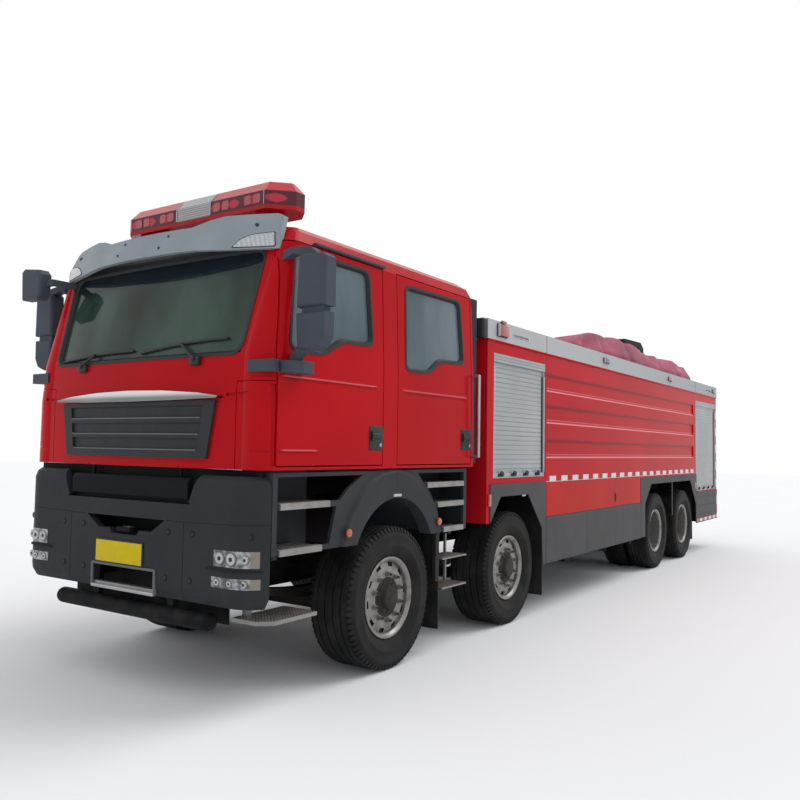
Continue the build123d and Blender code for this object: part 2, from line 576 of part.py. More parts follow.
# Grille: a dark panel with four sunk bands between three blades, under a bright bar.
# Columns of the bands: lower edge, upper edge, half width
GRILLE_PROUD = 20
GRILLE_SINK = 15
GRILLE_FACE = [(-733, 1532), (-799, 1902), (799, 1902), (733, 1532)]
GRILLE_BANDS = ((1588, 1662, 645), (1690, 1762, 660), (1796, 1872, 675))
BRIGHT_BAR_PROUD = 46
BRIGHT_BAR = [(-846, 1928), (-670, 1950), (-345, 1971), (0, 1978), (345, 1971), (670, 1950), (846, 1928),
              (832, 1915), (450, 1906), (0, 1903), (-450, 1906), (-832, 1915)]

with BuildPart() as grille_bands:
    for z0, z1, half in GRILLE_BANDS:
        band = [(-half, z0), (-half - 14, z0 + 12), (-half - 20, z1), (half + 20, z1), (half + 14, z0 + 12), (half, z0)]
        slab(front(-1300), band, 300)
    cab_body(GRILLE_SINK - GRILLE_PROUD, Mode.SUBTRACT)
with BuildPart() as grille:
    cab_body(-GRILLE_PROUD)
    slab(front(-1300), GRILLE_FACE, 300, Mode.INTERSECT)
    add(cab_seat.part, mode=Mode.SUBTRACT)
    add(grille_bands.part, mode=Mode.SUBTRACT)
grille.part.label = "grille_panel"
export_step(grille.part, "parts/grille_panel.step")

with BuildPart() as grille_bar:
    cab_body(-BRIGHT_BAR_PROUD)
    slab(front(-1300), BRIGHT_BAR, 300, Mode.INTERSECT)
    add(cab_seat.part, mode=Mode.SUBTRACT)
grille_bar.part.label = "grille_bar"
export_step(grille_bar.part, "parts/grille_bar.step")

# Cab interior: dash with a raised instrument hood, seats, and the steering wheel on its column
DASH_Y = (-1290, -1000)
DASH_Z = (1900, 2170)
DASH_SIDE = [(DASH_Y[0], DASH_Z[0]), (DASH_Y[0], DASH_Z[1]), (-1120, DASH_Z[1]), (DASH_Y[1], 2060), (DASH_Y[1], DASH_Z[0])]

with BuildPart() as dash:
    slab(side(-1080), DASH_SIDE, 2160)
    slab(side(430), [(-1180, DASH_Z[1]), (-1150, 2215), (-1060, 2190), (-1060, 2090), (-1180, 2090)], 420)
    block((-1080, 1080), (-1290, -1200), (CAB_FLOOR + SEAT_GAP, DASH_Z[0]))
dash.part.label = "dash"
export_step(dash.part, "parts/dash.step")

SEATS = ((640, -420), (-640, -420), (780, 640), (260, 640), (-260, 640), (-780, 640))
SEAT_HALF = 240
SEAT_SIDE = [(-250, 1860), (-250, 1985), (-170, 2010), (150, 1985), (235, 2560), (255, 2750), (320, 2765), (345, 2740),
             (335, 2560), (300, 1860)]
SEAT_BASE = [(-180, CAB_FLOOR + SEAT_GAP), (-180, 1860), (240, 1860), (240, CAB_FLOOR + SEAT_GAP)]

with BuildPart() as seats:
    for x, y in SEATS:
        for outline, half in ((SEAT_SIDE, SEAT_HALF), (SEAT_BASE, SEAT_HALF - 50)):
            slab(side(x - half), [(y + a, z) for a, z in outline], 2 * half)
seats.part.label = "seats"
export_step(seats.part, "parts/seats.step")

WHEEL_CENTRE = (640, -860, 2240)
WHEEL_RIM_R = 215
COLUMN_R = 30

with BuildPart() as steering_wheel:
    lean = Plane(origin=(WHEEL_CENTRE[0], AXLE_1 + WHEEL_CENTRE[1], WHEEL_CENTRE[2]), z_dir=(0, 0.5, 0.866))
    with Locations(lean.location):
        Torus(WHEEL_RIM_R, 16)
        Box(2 * WHEEL_RIM_R, 40, 18)
    with Locations(lean.offset(-20).location):
        Cylinder(40, 60)
    with BuildSketch(lean.offset(-50)):
        Circle(COLUMN_R)
    extrude(amount=-320)
    block((-1080, 1080), (DASH_Y[0], DASH_Y[1] + SEAT_GAP), (DASH_Z[0] - SEAT_GAP, 2216), Mode.SUBTRACT)
steering_wheel.part.label = "steering_wheel"
export_step(steering_wheel.part, "parts/steering_wheel.step")

# Front bumper: level sections as height and inset, so its edges turn in at the top and the bottom
BUMPER_HALF = 1215
BUMPER_FRONT = -1460
BUMPER_REAR = -1315
BUMPER_CORNER = 220
BUMPER_BACK = -1200
BUMPER_WALL = 50
BUMPER_SECTIONS = ((633, 34), (685, 5), (725, 0), (1365, 0), (1410, 15), (1430, 42))
BUMPER_RECESS = [(-628, 1258), (-645, 1242), (645, 1242), (628, 1258), (712, 1450), (-712, 1450)]
TOW_OPENING = [(-276, 1045), (-408, 1130), (408, 1130), (276, 1045), (152, 1045), (135, 1012), (-135, 1012), (-152, 1045)]
STEP_OPENING = (-310, 310, 655, 790)
BUMPER_CREASE = [(425, 1126), (1240, 1140), (1240, 1146), (425, 1132)]
BUMPER_SEAM_X = 590
# Columns of the lamps: inner x, outer x, lower edge, upper edge
LAMPS = ((872, 1172, 884, 984), (856, 1176, 756, 820))
LAMP_PROUD = 3
LAMP_DEPTH = 30


def bumper_body(inset, mode=Mode.ADD):
    """The bumper's outside, moved in by an inset on the front and sides."""
    levels = []
    for z, turn in BUMPER_SECTIONS:
        step = turn + inset
        with BuildSketch(plan(z)) as level:
            Polygon((step - BUMPER_HALF, BUMPER_FRONT + step), (BUMPER_HALF - step, BUMPER_FRONT + step),
                    (BUMPER_HALF - step, BUMPER_BACK), (step - BUMPER_HALF, BUMPER_BACK), align=None)
            fillet(level.vertices().group_by(Axis.Y)[0], BUMPER_CORNER - step)
        levels.append(level.sketch.faces()[0])
    loft(levels, ruled=True, mode=mode)


def lamp_prisms(gap, depth):
    """Blocks through the bumper's front skin at the lamps, made smaller by a gap."""
    for s in (1, -1):
        for x0, x1, z0, z1 in LAMPS:
            block((s * (x0 + gap), s * (x1 - gap)), (BUMPER_FRONT - 50, BUMPER_FRONT + depth), (z0 + gap, z1 - gap))


with BuildPart() as bumper_lines:
    for s in (1, -1):
        slab(front(-1300), mirrored(BUMPER_CREASE, s), 300)
        block((s * (BUMPER_SEAM_X - 2), s * (BUMPER_SEAM_X + 2)), (-1600, -1430), (640, 1126))
    bumper_body(CREASE_DEPTH, Mode.SUBTRACT)
with BuildPart() as lamp_pockets:
    lamp_prisms(0, 200)
    bumper_body(LAMP_DEPTH, Mode.SUBTRACT)
with BuildPart() as bumper:
    bumper_body(0)
    block((-1300, 1300), (BUMPER_REAR, BUMPER_BACK + 1), (600, 1500), Mode.SUBTRACT)
    with BuildSketch(plan(600)) as hollow:
        half = BUMPER_HALF - BUMPER_WALL
        Polygon((-half, BUMPER_FRONT + BUMPER_WALL), (half, BUMPER_FRONT + BUMPER_WALL),
                (half, BUMPER_BACK), (-half, BUMPER_BACK), align=None)
        fillet(hollow.vertices().group_by(Axis.Y)[0], BUMPER_CORNER - BUMPER_WALL)
    extrude(hollow.sketch, amount=900, mode=Mode.SUBTRACT)
    slab(front(-1400), BUMPER_RECESS, 400, Mode.SUBTRACT)
    slab(front(-1400), TOW_OPENING, 400, Mode.SUBTRACT)
    block((STEP_OPENING[0], STEP_OPENING[1]), (-1700, -1400), STEP_OPENING[2:], Mode.SUBTRACT)
    add(bumper_lines.part, mode=Mode.SUBTRACT)
    add(lamp_pockets.part, mode=Mode.SUBTRACT)
    for s in (1, -1):
        block((s * RAIL_X[0], s * RAIL_X[1]), (BUMPER_FRONT + BUMPER_WALL, RAIL_Y[0] - SEAT_GAP), (715, 795))
bumper.part.label = "bumper"
export_step(bumper.part, "parts/bumper.step")

with BuildPart() as lamp_skin:
    bumper_body(-LAMP_PROUD)
with BuildPart() as headlamps:
    lamp_prisms(SEAT_GAP, 195)
    add(lamp_skin.part, mode=Mode.INTERSECT)
    bumper_body(LAMP_DEPTH - SEAT_GAP, Mode.SUBTRACT)
headlamps.part.label = "headlamps"
export_step(headlamps.part, "parts/headlamps.step")

# Bar in the bumper's recess, front tow eye and the underrun bar, all on the frame
RECESS_BAR = [(-1452, 1275), (-1452, 1385), (-1434, 1405), (-1409.7, 1405), (-1409.7, 1275)]
TOW_PLATE_Z = (1030, 1060)
FRONT_EYE_Y = -1428
UNDERRUN_Y = -1380
UNDERRUN_Z = 515
UNDERRUN_R = 56
UNDERRUN_HALF = 750

with BuildPart() as front_bars:
    back = BUMPER_FRONT + BUMPER_WALL + SEAT_GAP
    slab(side(-606), RECESS_BAR, 1212)
    block((-730, 730), (back, back + 7), (1200, 1400))
    block((-RAIL_X[1], RAIL_X[1]), (RAIL_Y[0] - 25, RAIL_Y[0] - SEAT_GAP), (800, 960))
    block((-70, 70), (RAIL_Y[0] - 25, RAIL_Y[0] - SEAT_GAP), (960, TOW_PLATE_Z[1]))
    block((-70, 70), (FRONT_EYE_Y - 40, RAIL_Y[0] - 25), TOW_PLATE_Z)
    rod(0, FRONT_EYE_Y, TOW_PLATE_Z, TOW_EYE_R, "Z", Mode.SUBTRACT)
    rod((-UNDERRUN_HALF, UNDERRUN_HALF), UNDERRUN_Y, UNDERRUN_Z, UNDERRUN_R, "X")
    for s in (1, -1):
        with Locations((s * UNDERRUN_HALF, AXLE_1 + UNDERRUN_Y, UNDERRUN_Z)):
            Sphere(UNDERRUN_R)
        block((s * (RAIL_X[0] + 10), s * (RAIL_X[1] - 10)), (-1380, -1340), (540, RAIL_Z[0] - SEAT_GAP))
front_bars.part.label = "front_bars"
export_step(front_bars.part, "parts/front_bars.step")

# Flared fenders and recessed step wells beside the cab
TRIM_X = (1180, 1205)
FLARE_X = (1120, 1228)
FLARE_Z = 950
TRIM_TOP = 1455
WELL_X = 940
WELL_ARMS = (-1170, 985)
ARCH_CENTRE = (0, 714)
ARCH_R = 540
FRONT_STEPS = ((-1290, -765, 1264), (-1290, -840, 982))
REAR_STEPS = ((400, 1020, 1350), (560, 1020, 1190), (655, 1020, 985))
TREAD_LIP = 38

with BuildPart() as flare:
    for s in (1, -1):
        with BuildSketch(side(s * FLARE_X[0])) as ring:
            with BuildLine():
                ThreePointArc((-650, FLARE_Z), (0, 1465), (650, FLARE_Z))
                Line((650, FLARE_Z), (480, FLARE_Z))
                ThreePointArc((480, FLARE_Z), (0, ARCH_CENTRE[1] + ARCH_R), (-480, FLARE_Z))
                Line((-480, FLARE_Z), (-650, FLARE_Z))
            make_face()
        extrude(ring.sketch, amount=s * (FLARE_X[1] - FLARE_X[0]))
    chamfer(flare.edges().filter_by(GeomType.CIRCLE).filter_by(lambda e: abs(abs(e.center().X) - FLARE_X[1]) < 1
            and e.radius > 600), 26)

with BuildPart() as wells:
    add(flare.part)
    for s in (1, -1):
        with BuildSketch(side(s * TRIM_X[0])) as plate:
            Polygon((-1310, TRIM_TOP), (1075, TRIM_TOP), (1075, FLARE_Z), (-1310, FLARE_Z), align=None)
            with Locations(ARCH_CENTRE):
                Circle(ARCH_R, mode=Mode.SUBTRACT)
            Polygon((-1268, 982), (-760, 982), (-690, 1226), (-1268, 1226), align=None, mode=Mode.SUBTRACT)
            Polygon((-1268, 1264), (-650, 1264), (-560, 1340), (-400, 1428), (-1268, 1428), align=None, mode=Mode.SUBTRACT)
            Polygon((655, 985), (1030, 985), (1030, 1152), (600, 1152), align=None, mode=Mode.SUBTRACT)
            Polygon((560, 1190), (1030, 1190), (1030, 1312), (460, 1312), align=None, mode=Mode.SUBTRACT)
            Polygon((400, 1350), (1030, 1350), (1030, 1428), (310, 1428), align=None, mode=Mode.SUBTRACT)
        extrude(plate.sketch, amount=s * (TRIM_X[1] - TRIM_X[0]))
        with BuildSketch(side(s * 560)) as liner:
            with Locations((0, TYRE_R)):
                Circle(744)
                Circle(730, mode=Mode.SUBTRACT)
            Polygon((-900, 960), (900, 960), (900, -300), (-900, -300), align=None, mode=Mode.SUBTRACT)
        extrude(liner.sketch, amount=s * (TRIM_X[0] - 560))
        for y0, y1, z in FRONT_STEPS + REAR_STEPS:
            block((s * WELL_X, s * TRIM_X[0]), (y0, y1), (z - 22, z - 12))
        block((s * (WELL_X - 15), s * WELL_X), (-1310, -690), (960, TRIM_TOP))
        block((s * (WELL_X - 15), s * WELL_X), (560, 1075), (960, TRIM_TOP))
        block((s * WELL_X, s * TRIM_X[0]), (-1310, -1298), (FLARE_Z, TRIM_TOP))
        block((s * WELL_X, s * TRIM_X[0]), (1062, 1075), (FLARE_Z, TRIM_TOP))
        for y in WELL_ARMS:
            block((s * (RAIL_X[1] + SEAT_GAP), s * 1100), (y - 25, y + 25), (905, 960))
wells.part.label = "step_wells"
export_step(wells.part, "parts/step_wells.step")

# Step treads: plates with front lips in the wells, hanging steps, the bumper's step and the left corner step
HANGING_X = (1000, 1205)

with BuildPart() as treads:
    for s in (1, -1):
        for y0, y1, z in FRONT_STEPS + REAR_STEPS:
            block((s * (WELL_X + 20), s * (TRIM_X[0] - SEAT_GAP)), (y0 + 12, y1 - 12), (z - 12 + SEAT_GAP, z))
            block((s * (TRIM_X[1] + SEAT_GAP), s * (TRIM_X[1] + 12)), (y0 + 40, y1 - 5), (z - TREAD_LIP, z))
            block((s * (TRIM_X[0] - 10), s * (TRIM_X[1] + 12)), (y0 + 30, y1 - 12), (z + SEAT_GAP, z + 4))
        for z in (735, 498):
            block((s * HANGING_X[0], s * HANGING_X[1]), (700, 1090), (z - 13, z))
        for y in (720, 1050):
            block((s * HANGING_X[0], s * (HANGING_X[0] + 20)), (y, y + 20), (498, FLARE_Z - SEAT_GAP))
    slab(plan(530), [(905, -1330), (1110, -1330), (1190, -1250), (1190, -850), (905, -850)], 25)
    block((RAIL_X[1] + SEAT_GAP, 940), (-1240, -1190), (700, 750))
    block((905, 940), (-1240, -1190), (555, 750))
    block((STEP_OPENING[0] + 1, STEP_OPENING[1] - 1), (-1452, -1412), (STEP_OPENING[2] + SEAT_GAP, 676))
treads.part.label = "step_treads"
export_step(treads.part, "parts/step_treads.step")

# Superstructure: one closed body with recesses for the shutters and long pressed channels.
# Columns of the shutters: front edge, rear edge, lower edge, upper edge
BODY_X = 1240
BODY_Y = (1375, 10070)
BODY_TOP = 2612
BODY_OVER_WHEELS = 1200
BODY_SPINE_X = 480
BODY_FLOOR = 500
LOWER_X = (620, 1240)
SHUTTERS = ((1500, 2625, 1360, 2495), (8640, 9985, 1000, 2480))
SHUTTER_DEPTH = 60
REAR_SHUTTER = (-800, 800, 1000, 2480)
CHANNELS = ((2228, 2402), (1902, 2082), (1548, 1732))
CHANNEL_Y = (2665, 8495)
CHANNEL_DEPTH = 16
CHANNEL_SLOPE = 22
SEAM_STATIONS = (2642, 8590)

with BuildPart() as body:
    block((-BODY_X, BODY_X), BODY_Y, (BODY_OVER_WHEELS, BODY_TOP))
    block((-BODY_SPINE_X, BODY_SPINE_X), (BODY_Y[0], BODY_Y[1]), (RAIL_Z[1] + SEAT_GAP, BODY_OVER_WHEELS))
    for s in (1, -1):
        block((s * LOWER_X[0], s * LOWER_X[1]), (BODY_Y[0], 1440), (966, BODY_OVER_WHEELS))
        block((s * LOWER_X[0], s * LOWER_X[1]), (2720, 5720), (BODY_FLOOR, BODY_OVER_WHEELS))
        block((s * LOWER_X[0], s * LOWER_X[1]), (8740, BODY_Y[1]), (BODY_FLOOR, BODY_OVER_WHEELS))
        for y0, y1, z0, z1 in SHUTTERS:
            block((s * (BODY_X - SHUTTER_DEPTH), s * BODY_X), (y0, y1), (z0, z1), Mode.SUBTRACT)
        for z0, z1 in CHANNELS:
            channel = [(s * BODY_X, z0), (s * BODY_X, z1), (s * (BODY_X - CHANNEL_DEPTH), z1 - CHANNEL_SLOPE),
                       (s * (BODY_X - CHANNEL_DEPTH), z0 + CHANNEL_SLOPE)]
            slab(front(CHANNEL_Y[1]), channel, CHANNEL_Y[1] - CHANNEL_Y[0], Mode.SUBTRACT)
        for y in SEAM_STATIONS:
            block((s * (BODY_X - 6), s * BODY_X), (y - 3, y + 3), (1310, BODY_TOP), Mode.SUBTRACT)
    block((REAR_SHUTTER[0], REAR_SHUTTER[1]), (BODY_Y[1] - SHUTTER_DEPTH, BODY_Y[1]),
          (REAR_SHUTTER[2], REAR_SHUTTER[3]), Mode.SUBTRACT)
body.part.label = "body"
export_step(body.part, "parts/body.step")

# Roller shutters: slatted curtains between side rails, under a grooved hood, with a bottom bar
SLAT_PITCH = 44
SLAT_GROOVE = 7
SLAT_DEPTH = 5
HOOD_HEIGHT = 76
BAR_HEIGHT = 44
RAIL_WIDTH = 26


def shutter(plane, reach, x0, x1, z0, z1):
    """One shutter on a plane across its thickness: slats from a toothed section, rails, hood and bar."""
    face = reach - 22
    teeth = [(0, z0 + BAR_HEIGHT)]
    z = z0 + BAR_HEIGHT
    while z + SLAT_PITCH < z1 - HOOD_HEIGHT:
        teeth += [(face, z), (face, z + SLAT_PITCH - SLAT_GROOVE), (face - SLAT_DEPTH, z + SLAT_PITCH - SLAT_GROOVE),
                  (face - SLAT_DEPTH, z + SLAT_PITCH)]
        z += SLAT_PITCH
    teeth += [(face, z), (face, z1 - HOOD_HEIGHT), (0, z1 - HOOD_HEIGHT)]
    hood = [(0, z1 - HOOD_HEIGHT), (reach, z1 - HOOD_HEIGHT), (reach, z1 - 54), (reach - 5, z1 - 50), (reach, z1 - 46),
            (reach, z1 - 30), (reach - 5, z1 - 26), (reach, z1 - 22), (reach, z1), (0, z1)]
    bar = [(0, z0), (reach - 8, z0), (reach - 8, z0 + BAR_HEIGHT - 10), (face, z0 + BAR_HEIGHT), (0, z0 + BAR_HEIGHT)]
    slab(plane, teeth, x1 - x0)
    slab(plane, hood, x1 - x0)
    slab(plane, bar, x1 - x0)
    rails = [(0, z0), (reach - 6, z0), (reach - 6, z1 - HOOD_HEIGHT), (0, z1 - HOOD_HEIGHT)]
    slab(plane, rails, RAIL_WIDTH)
    slab(plane.offset(x1 - x0 - RAIL_WIDTH), rails, RAIL_WIDTH)


with BuildPart() as shutters:
    reach = SHUTTER_DEPTH - SEAT_GAP
    for s in (1, -1):
        for y0, y1, z0, z1 in SHUTTERS:
            start = y1 - SEAT_GAP if s > 0 else y0 + SEAT_GAP
            back = (s * (BODY_X - SHUTTER_DEPTH + SEAT_GAP), AXLE_1 + start, 0)
            across = Plane(origin=back, x_dir=(s, 0, 0), z_dir=(0, -s, 0))
            shutter(across, reach, y0 + SEAT_GAP, y1 - SEAT_GAP, z0 + SEAT_GAP, z1 - SEAT_GAP)
    x0, x1, z0, z1 = REAR_SHUTTER
    across = Plane(origin=(x0 + SEAT_GAP, AXLE_1 + BODY_Y[1] - SHUTTER_DEPTH + SEAT_GAP, 0),
                   x_dir=(0, 1, 0), z_dir=(1, 0, 0))
    shutter(across, reach, x0 + SEAT_GAP, x1 - SEAT_GAP, z0 + SEAT_GAP, z1 - SEAT_GAP)
shutters.part.label = "shutters"
export_step(shutters.part, "parts/shutters.step")

# Silver band round the top of the superstructure
BAND_X = 1250
BAND_WALL = 100
BAND_TOP = 2790

with BuildPart() as band:
    block((-BAND_X, BAND_X), (BODY_Y[0] - 15, BODY_Y[1] + 13), (BODY_TOP + SEAT_GAP, BAND_TOP))
    block((BAND_WALL - BAND_X, BAND_X - BAND_WALL), (BODY_Y[0] + 90, BODY_Y[1] - 87), (BODY_TOP - 10, BAND_TOP + 10),
          Mode.SUBTRACT)
    for s in (1, -1):
        for y in SEAM_STATIONS:
            block((s * (BAND_X - 8), s * BAND_X), (y - 4, y + 4), (BODY_TOP, BAND_TOP), Mode.SUBTRACT)
band.part.label = "top_band"
export_step(band.part, "parts/top_band.step")

# Orange lower side panels, grey skirts and arch frames
PANEL_X = (BODY_X + SEAT_GAP, 1250)
PANEL_GAP = 5

with BuildPart() as lower_panels:
    for s in (1, -1):
        block((s * PANEL_X[0], s * PANEL_X[1]), (2650, 5700), (955, 1300))
lower_panels.part.label = "lower_panels"
export_step(lower_panels.part, "parts/lower_panels.step")

ARCH_2 = [(1440, 970), (1640, 1195), (2225, 1195), (2545, 852), (2570, 485), (2640, 485), (2640, 1310), (1440, 1310)]
ARCH_34 = [(5725, 490), (5725, 1280), (8640, 1280), (8640, 490), (8610, 490), (8610, 800), (8260, 1185),
           (7235, 1185), (7235, 700), (7205, 700), (7205, 1185), (6190, 1185), (5910, 930), (5910, 490)]
SKIRTS = ((2650, 3780), (3780, 4740), (4740, 5720))
REAR_SKIRT_GROOVES = (620, 760, 900)

with BuildPart() as skirts:
    for s in (1, -1):
        depth = s * (PANEL_X[1] - PANEL_X[0])
        slab(side(s * PANEL_X[0]), ARCH_2, depth)
        slab(side(s * PANEL_X[0]), ARCH_34, depth)
        for y0, y1 in SKIRTS:
            block((s * PANEL_X[0], s * PANEL_X[1]), (y0, y1 - PANEL_GAP), (485, 950))
        block((s * PANEL_X[0], s * PANEL_X[1]), (8650, BODY_Y[1]), (485, 985))
        for z in REAR_SKIRT_GROOVES:
            block((s * (PANEL_X[1] - 4), s * PANEL_X[1]), (8650, BODY_Y[1]), (z - 4, z + 4), Mode.SUBTRACT)
skirts.part.label = "skirts"
export_step(skirts.part, "parts/skirts.step")

# Roof deck between the band's walls, with the housing of the roof monitor's pedestal
DECK_TOP = 2700
PEDESTAL = [(8360, DECK_TOP), (8400, 3440), (8520, 3560), (9380, 3590), (9540, 3500), (9600, DECK_TOP)]
PEDESTAL_X = (-130, 110)

with BuildPart() as deck:
    block((BAND_WALL - BAND_X + SEAT_GAP, BAND_X - BAND_WALL - SEAT_GAP),
          (BODY_Y[0] + 90 + SEAT_GAP, BODY_Y[1] - 87 - SEAT_GAP), (BODY_TOP + SEAT_GAP, DECK_TOP))
    slab(side(PEDESTAL_X[0]), PEDESTAL, PEDESTAL_X[1] - PEDESTAL_X[0])
deck.part.label = "roof_deck"
export_step(deck.part, "parts/roof_deck.step")

# Roof monitor under its long cloth cover.
# Columns: station, x of the ridge, half width at the left foot, width to the right foot, height of the ridge
COVER_SECTIONS = (
    (4880, 500, 240, 560, 2960),
    (5120, 530, 270, 760, 3180),
    (5480, 545, 290, 860, 3268),
    (6100, 555, 300, 900, 3290),
    (6900, 565, 300, 880, 3286),
    (7700, 600, 290, 760, 3222),
    (8250, 640, 290, 440, 3185),
    (8800, 690, 290, 440, 3208),
    (9350, 720, 280, 430, 3150),
    (9600, 730, 240, 380, 3010),
)

with BuildPart() as cover:
    levels = []
    for y, x, left, right, ridge in COVER_SECTIONS:
        base = DECK_TOP + SEAT_GAP
        mid = (base + ridge) / 2
        with BuildSketch(front(y)) as level:
            Polygon((x - right, base), (x - 0.97 * right, mid - 30), (x - 0.6 * right, ridge - 60), (x, ridge),
                    (x + 0.55 * left, ridge - 35), (x + 0.97 * left, mid), (x + left, base), align=None)
        levels.append(level.sketch.faces()[0])
    loft(levels, ruled=True)
cover.part.label = "monitor_cover"
export_step(cover.part, "parts/monitor_cover.step")

# Rear lamp boards, rear step and roof ladder, the rearmost pieces
TAIL_Y = (BODY_Y[1] + SEAT_GAP, OVERALL_LENGTH - FRONT_OVERHANG)
LADDER_X = (900, 1180)
LADDER_Z = (860, 2780)
LADDER_R = 14
RUNGS = 7

with BuildPart() as tail:
    for s in (1, -1):
        block((s * 900, s * 1230), (TAIL_Y[0], TAIL_Y[1] - 20), (620, 800))
    block((-860, 860), TAIL_Y, (560, 600))
    block((-860, 860), (TAIL_Y[0], TAIL_Y[0] + 10), (600, 700))
    centre = (TAIL_Y[0] + TAIL_Y[1] + 15) / 2
    for x in LADDER_X:
        rod(x, centre, LADDER_Z, LADDER_R, "Z")
        for z in (LADDER_Z[0] + 60, 1700, 2500):
            rod(x, (TAIL_Y[0], centre), z, LADDER_R - 3, "Y")
    for i in range(RUNGS):
        z = LADDER_Z[0] + 120 + i * (LADDER_Z[1] - LADDER_Z[0] - 240) / (RUNGS - 1)
        rod(LADDER_X, centre, z, LADDER_R - 2, "X")
tail.part.label = "tail_boards"
export_step(tail.part, "parts/tail_boards.step")

# Mudflaps behind the wheels, the first with its folded carrier
with BuildPart() as mudflaps:
    for s in (1, -1):
        block((s * 830, s * 1200), (640, 652), (180, FLARE_Z - SEAT_GAP))
        block((s * 1170, s * 1200), (600, 640), (560, FLARE_Z - SEAT_GAP))
        block((s * 830, s * 1230), (2585, 2597), (180, BODY_OVER_WHEELS - SEAT_GAP))
        block((s * 600, s * 1170), (8655, 8667), (220, BODY_OVER_WHEELS - SEAT_GAP))
mudflaps.part.label = "mudflaps"
export_step(mudflaps.part, "parts/mudflaps.step")
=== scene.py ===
import math

import bmesh
import bpy
from mathutils import Matrix, Vector, noise
from mathutils.bvhtree import BVHTree


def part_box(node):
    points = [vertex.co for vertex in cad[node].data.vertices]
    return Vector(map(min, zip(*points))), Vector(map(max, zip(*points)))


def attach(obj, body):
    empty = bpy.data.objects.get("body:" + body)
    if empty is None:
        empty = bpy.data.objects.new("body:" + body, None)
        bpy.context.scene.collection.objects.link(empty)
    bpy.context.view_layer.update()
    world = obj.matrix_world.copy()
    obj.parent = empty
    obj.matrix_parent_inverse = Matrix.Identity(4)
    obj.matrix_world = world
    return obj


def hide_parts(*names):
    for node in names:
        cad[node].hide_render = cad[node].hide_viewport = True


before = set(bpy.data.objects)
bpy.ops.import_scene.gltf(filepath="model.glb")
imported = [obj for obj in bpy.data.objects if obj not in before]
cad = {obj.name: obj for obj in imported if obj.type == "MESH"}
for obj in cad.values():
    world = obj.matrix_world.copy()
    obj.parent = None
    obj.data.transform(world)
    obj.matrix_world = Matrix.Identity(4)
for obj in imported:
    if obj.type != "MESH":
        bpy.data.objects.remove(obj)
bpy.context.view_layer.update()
scene = bpy.context.scene

# The view of the photograph. The camera stands low off the front left corner of the vehicle, at the
# height of a chest, and leans a little about its own line of sight.
rim_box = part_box("rim_1_left")
AXLE_1 = (rim_box[0][1] + rim_box[1][1]) / 2


def at(x, station, z):
    """A point of the vehicle: across, station behind the first axle, height."""
    return Vector((x, AXLE_1 + station, z))


YAW, PITCH, ROLL = math.radians(34.11), math.radians(3.46), math.radians(0.94)
EYE = at(4.567, -4.916, 1.618)
FOCAL_MM, SENSOR_MM = 35.97, 36
FAR_CLIP = 300
sight = Vector((-math.sin(YAW) * math.cos(PITCH), math.cos(YAW) * math.cos(PITCH), math.sin(PITCH)))
level = Vector((math.cos(YAW), math.sin(YAW), 0))
upward = level.cross(sight)
right = math.cos(ROLL) * level + math.sin(ROLL) * upward
top = -math.sin(ROLL) * level + math.cos(ROLL) * upward
lens = bpy.data.cameras.new("view")
lens.lens = FOCAL_MM
lens.sensor_width = SENSOR_MM
lens.clip_end = FAR_CLIP
camera = bpy.data.objects.new("view", lens)
pose = Matrix((right, top, -sight)).transposed().to_4x4()
pose.translation = EYE
camera.matrix_world = pose
scene.collection.objects.link(camera)
scene.camera = camera
scene.view_settings.view_transform = "Standard"


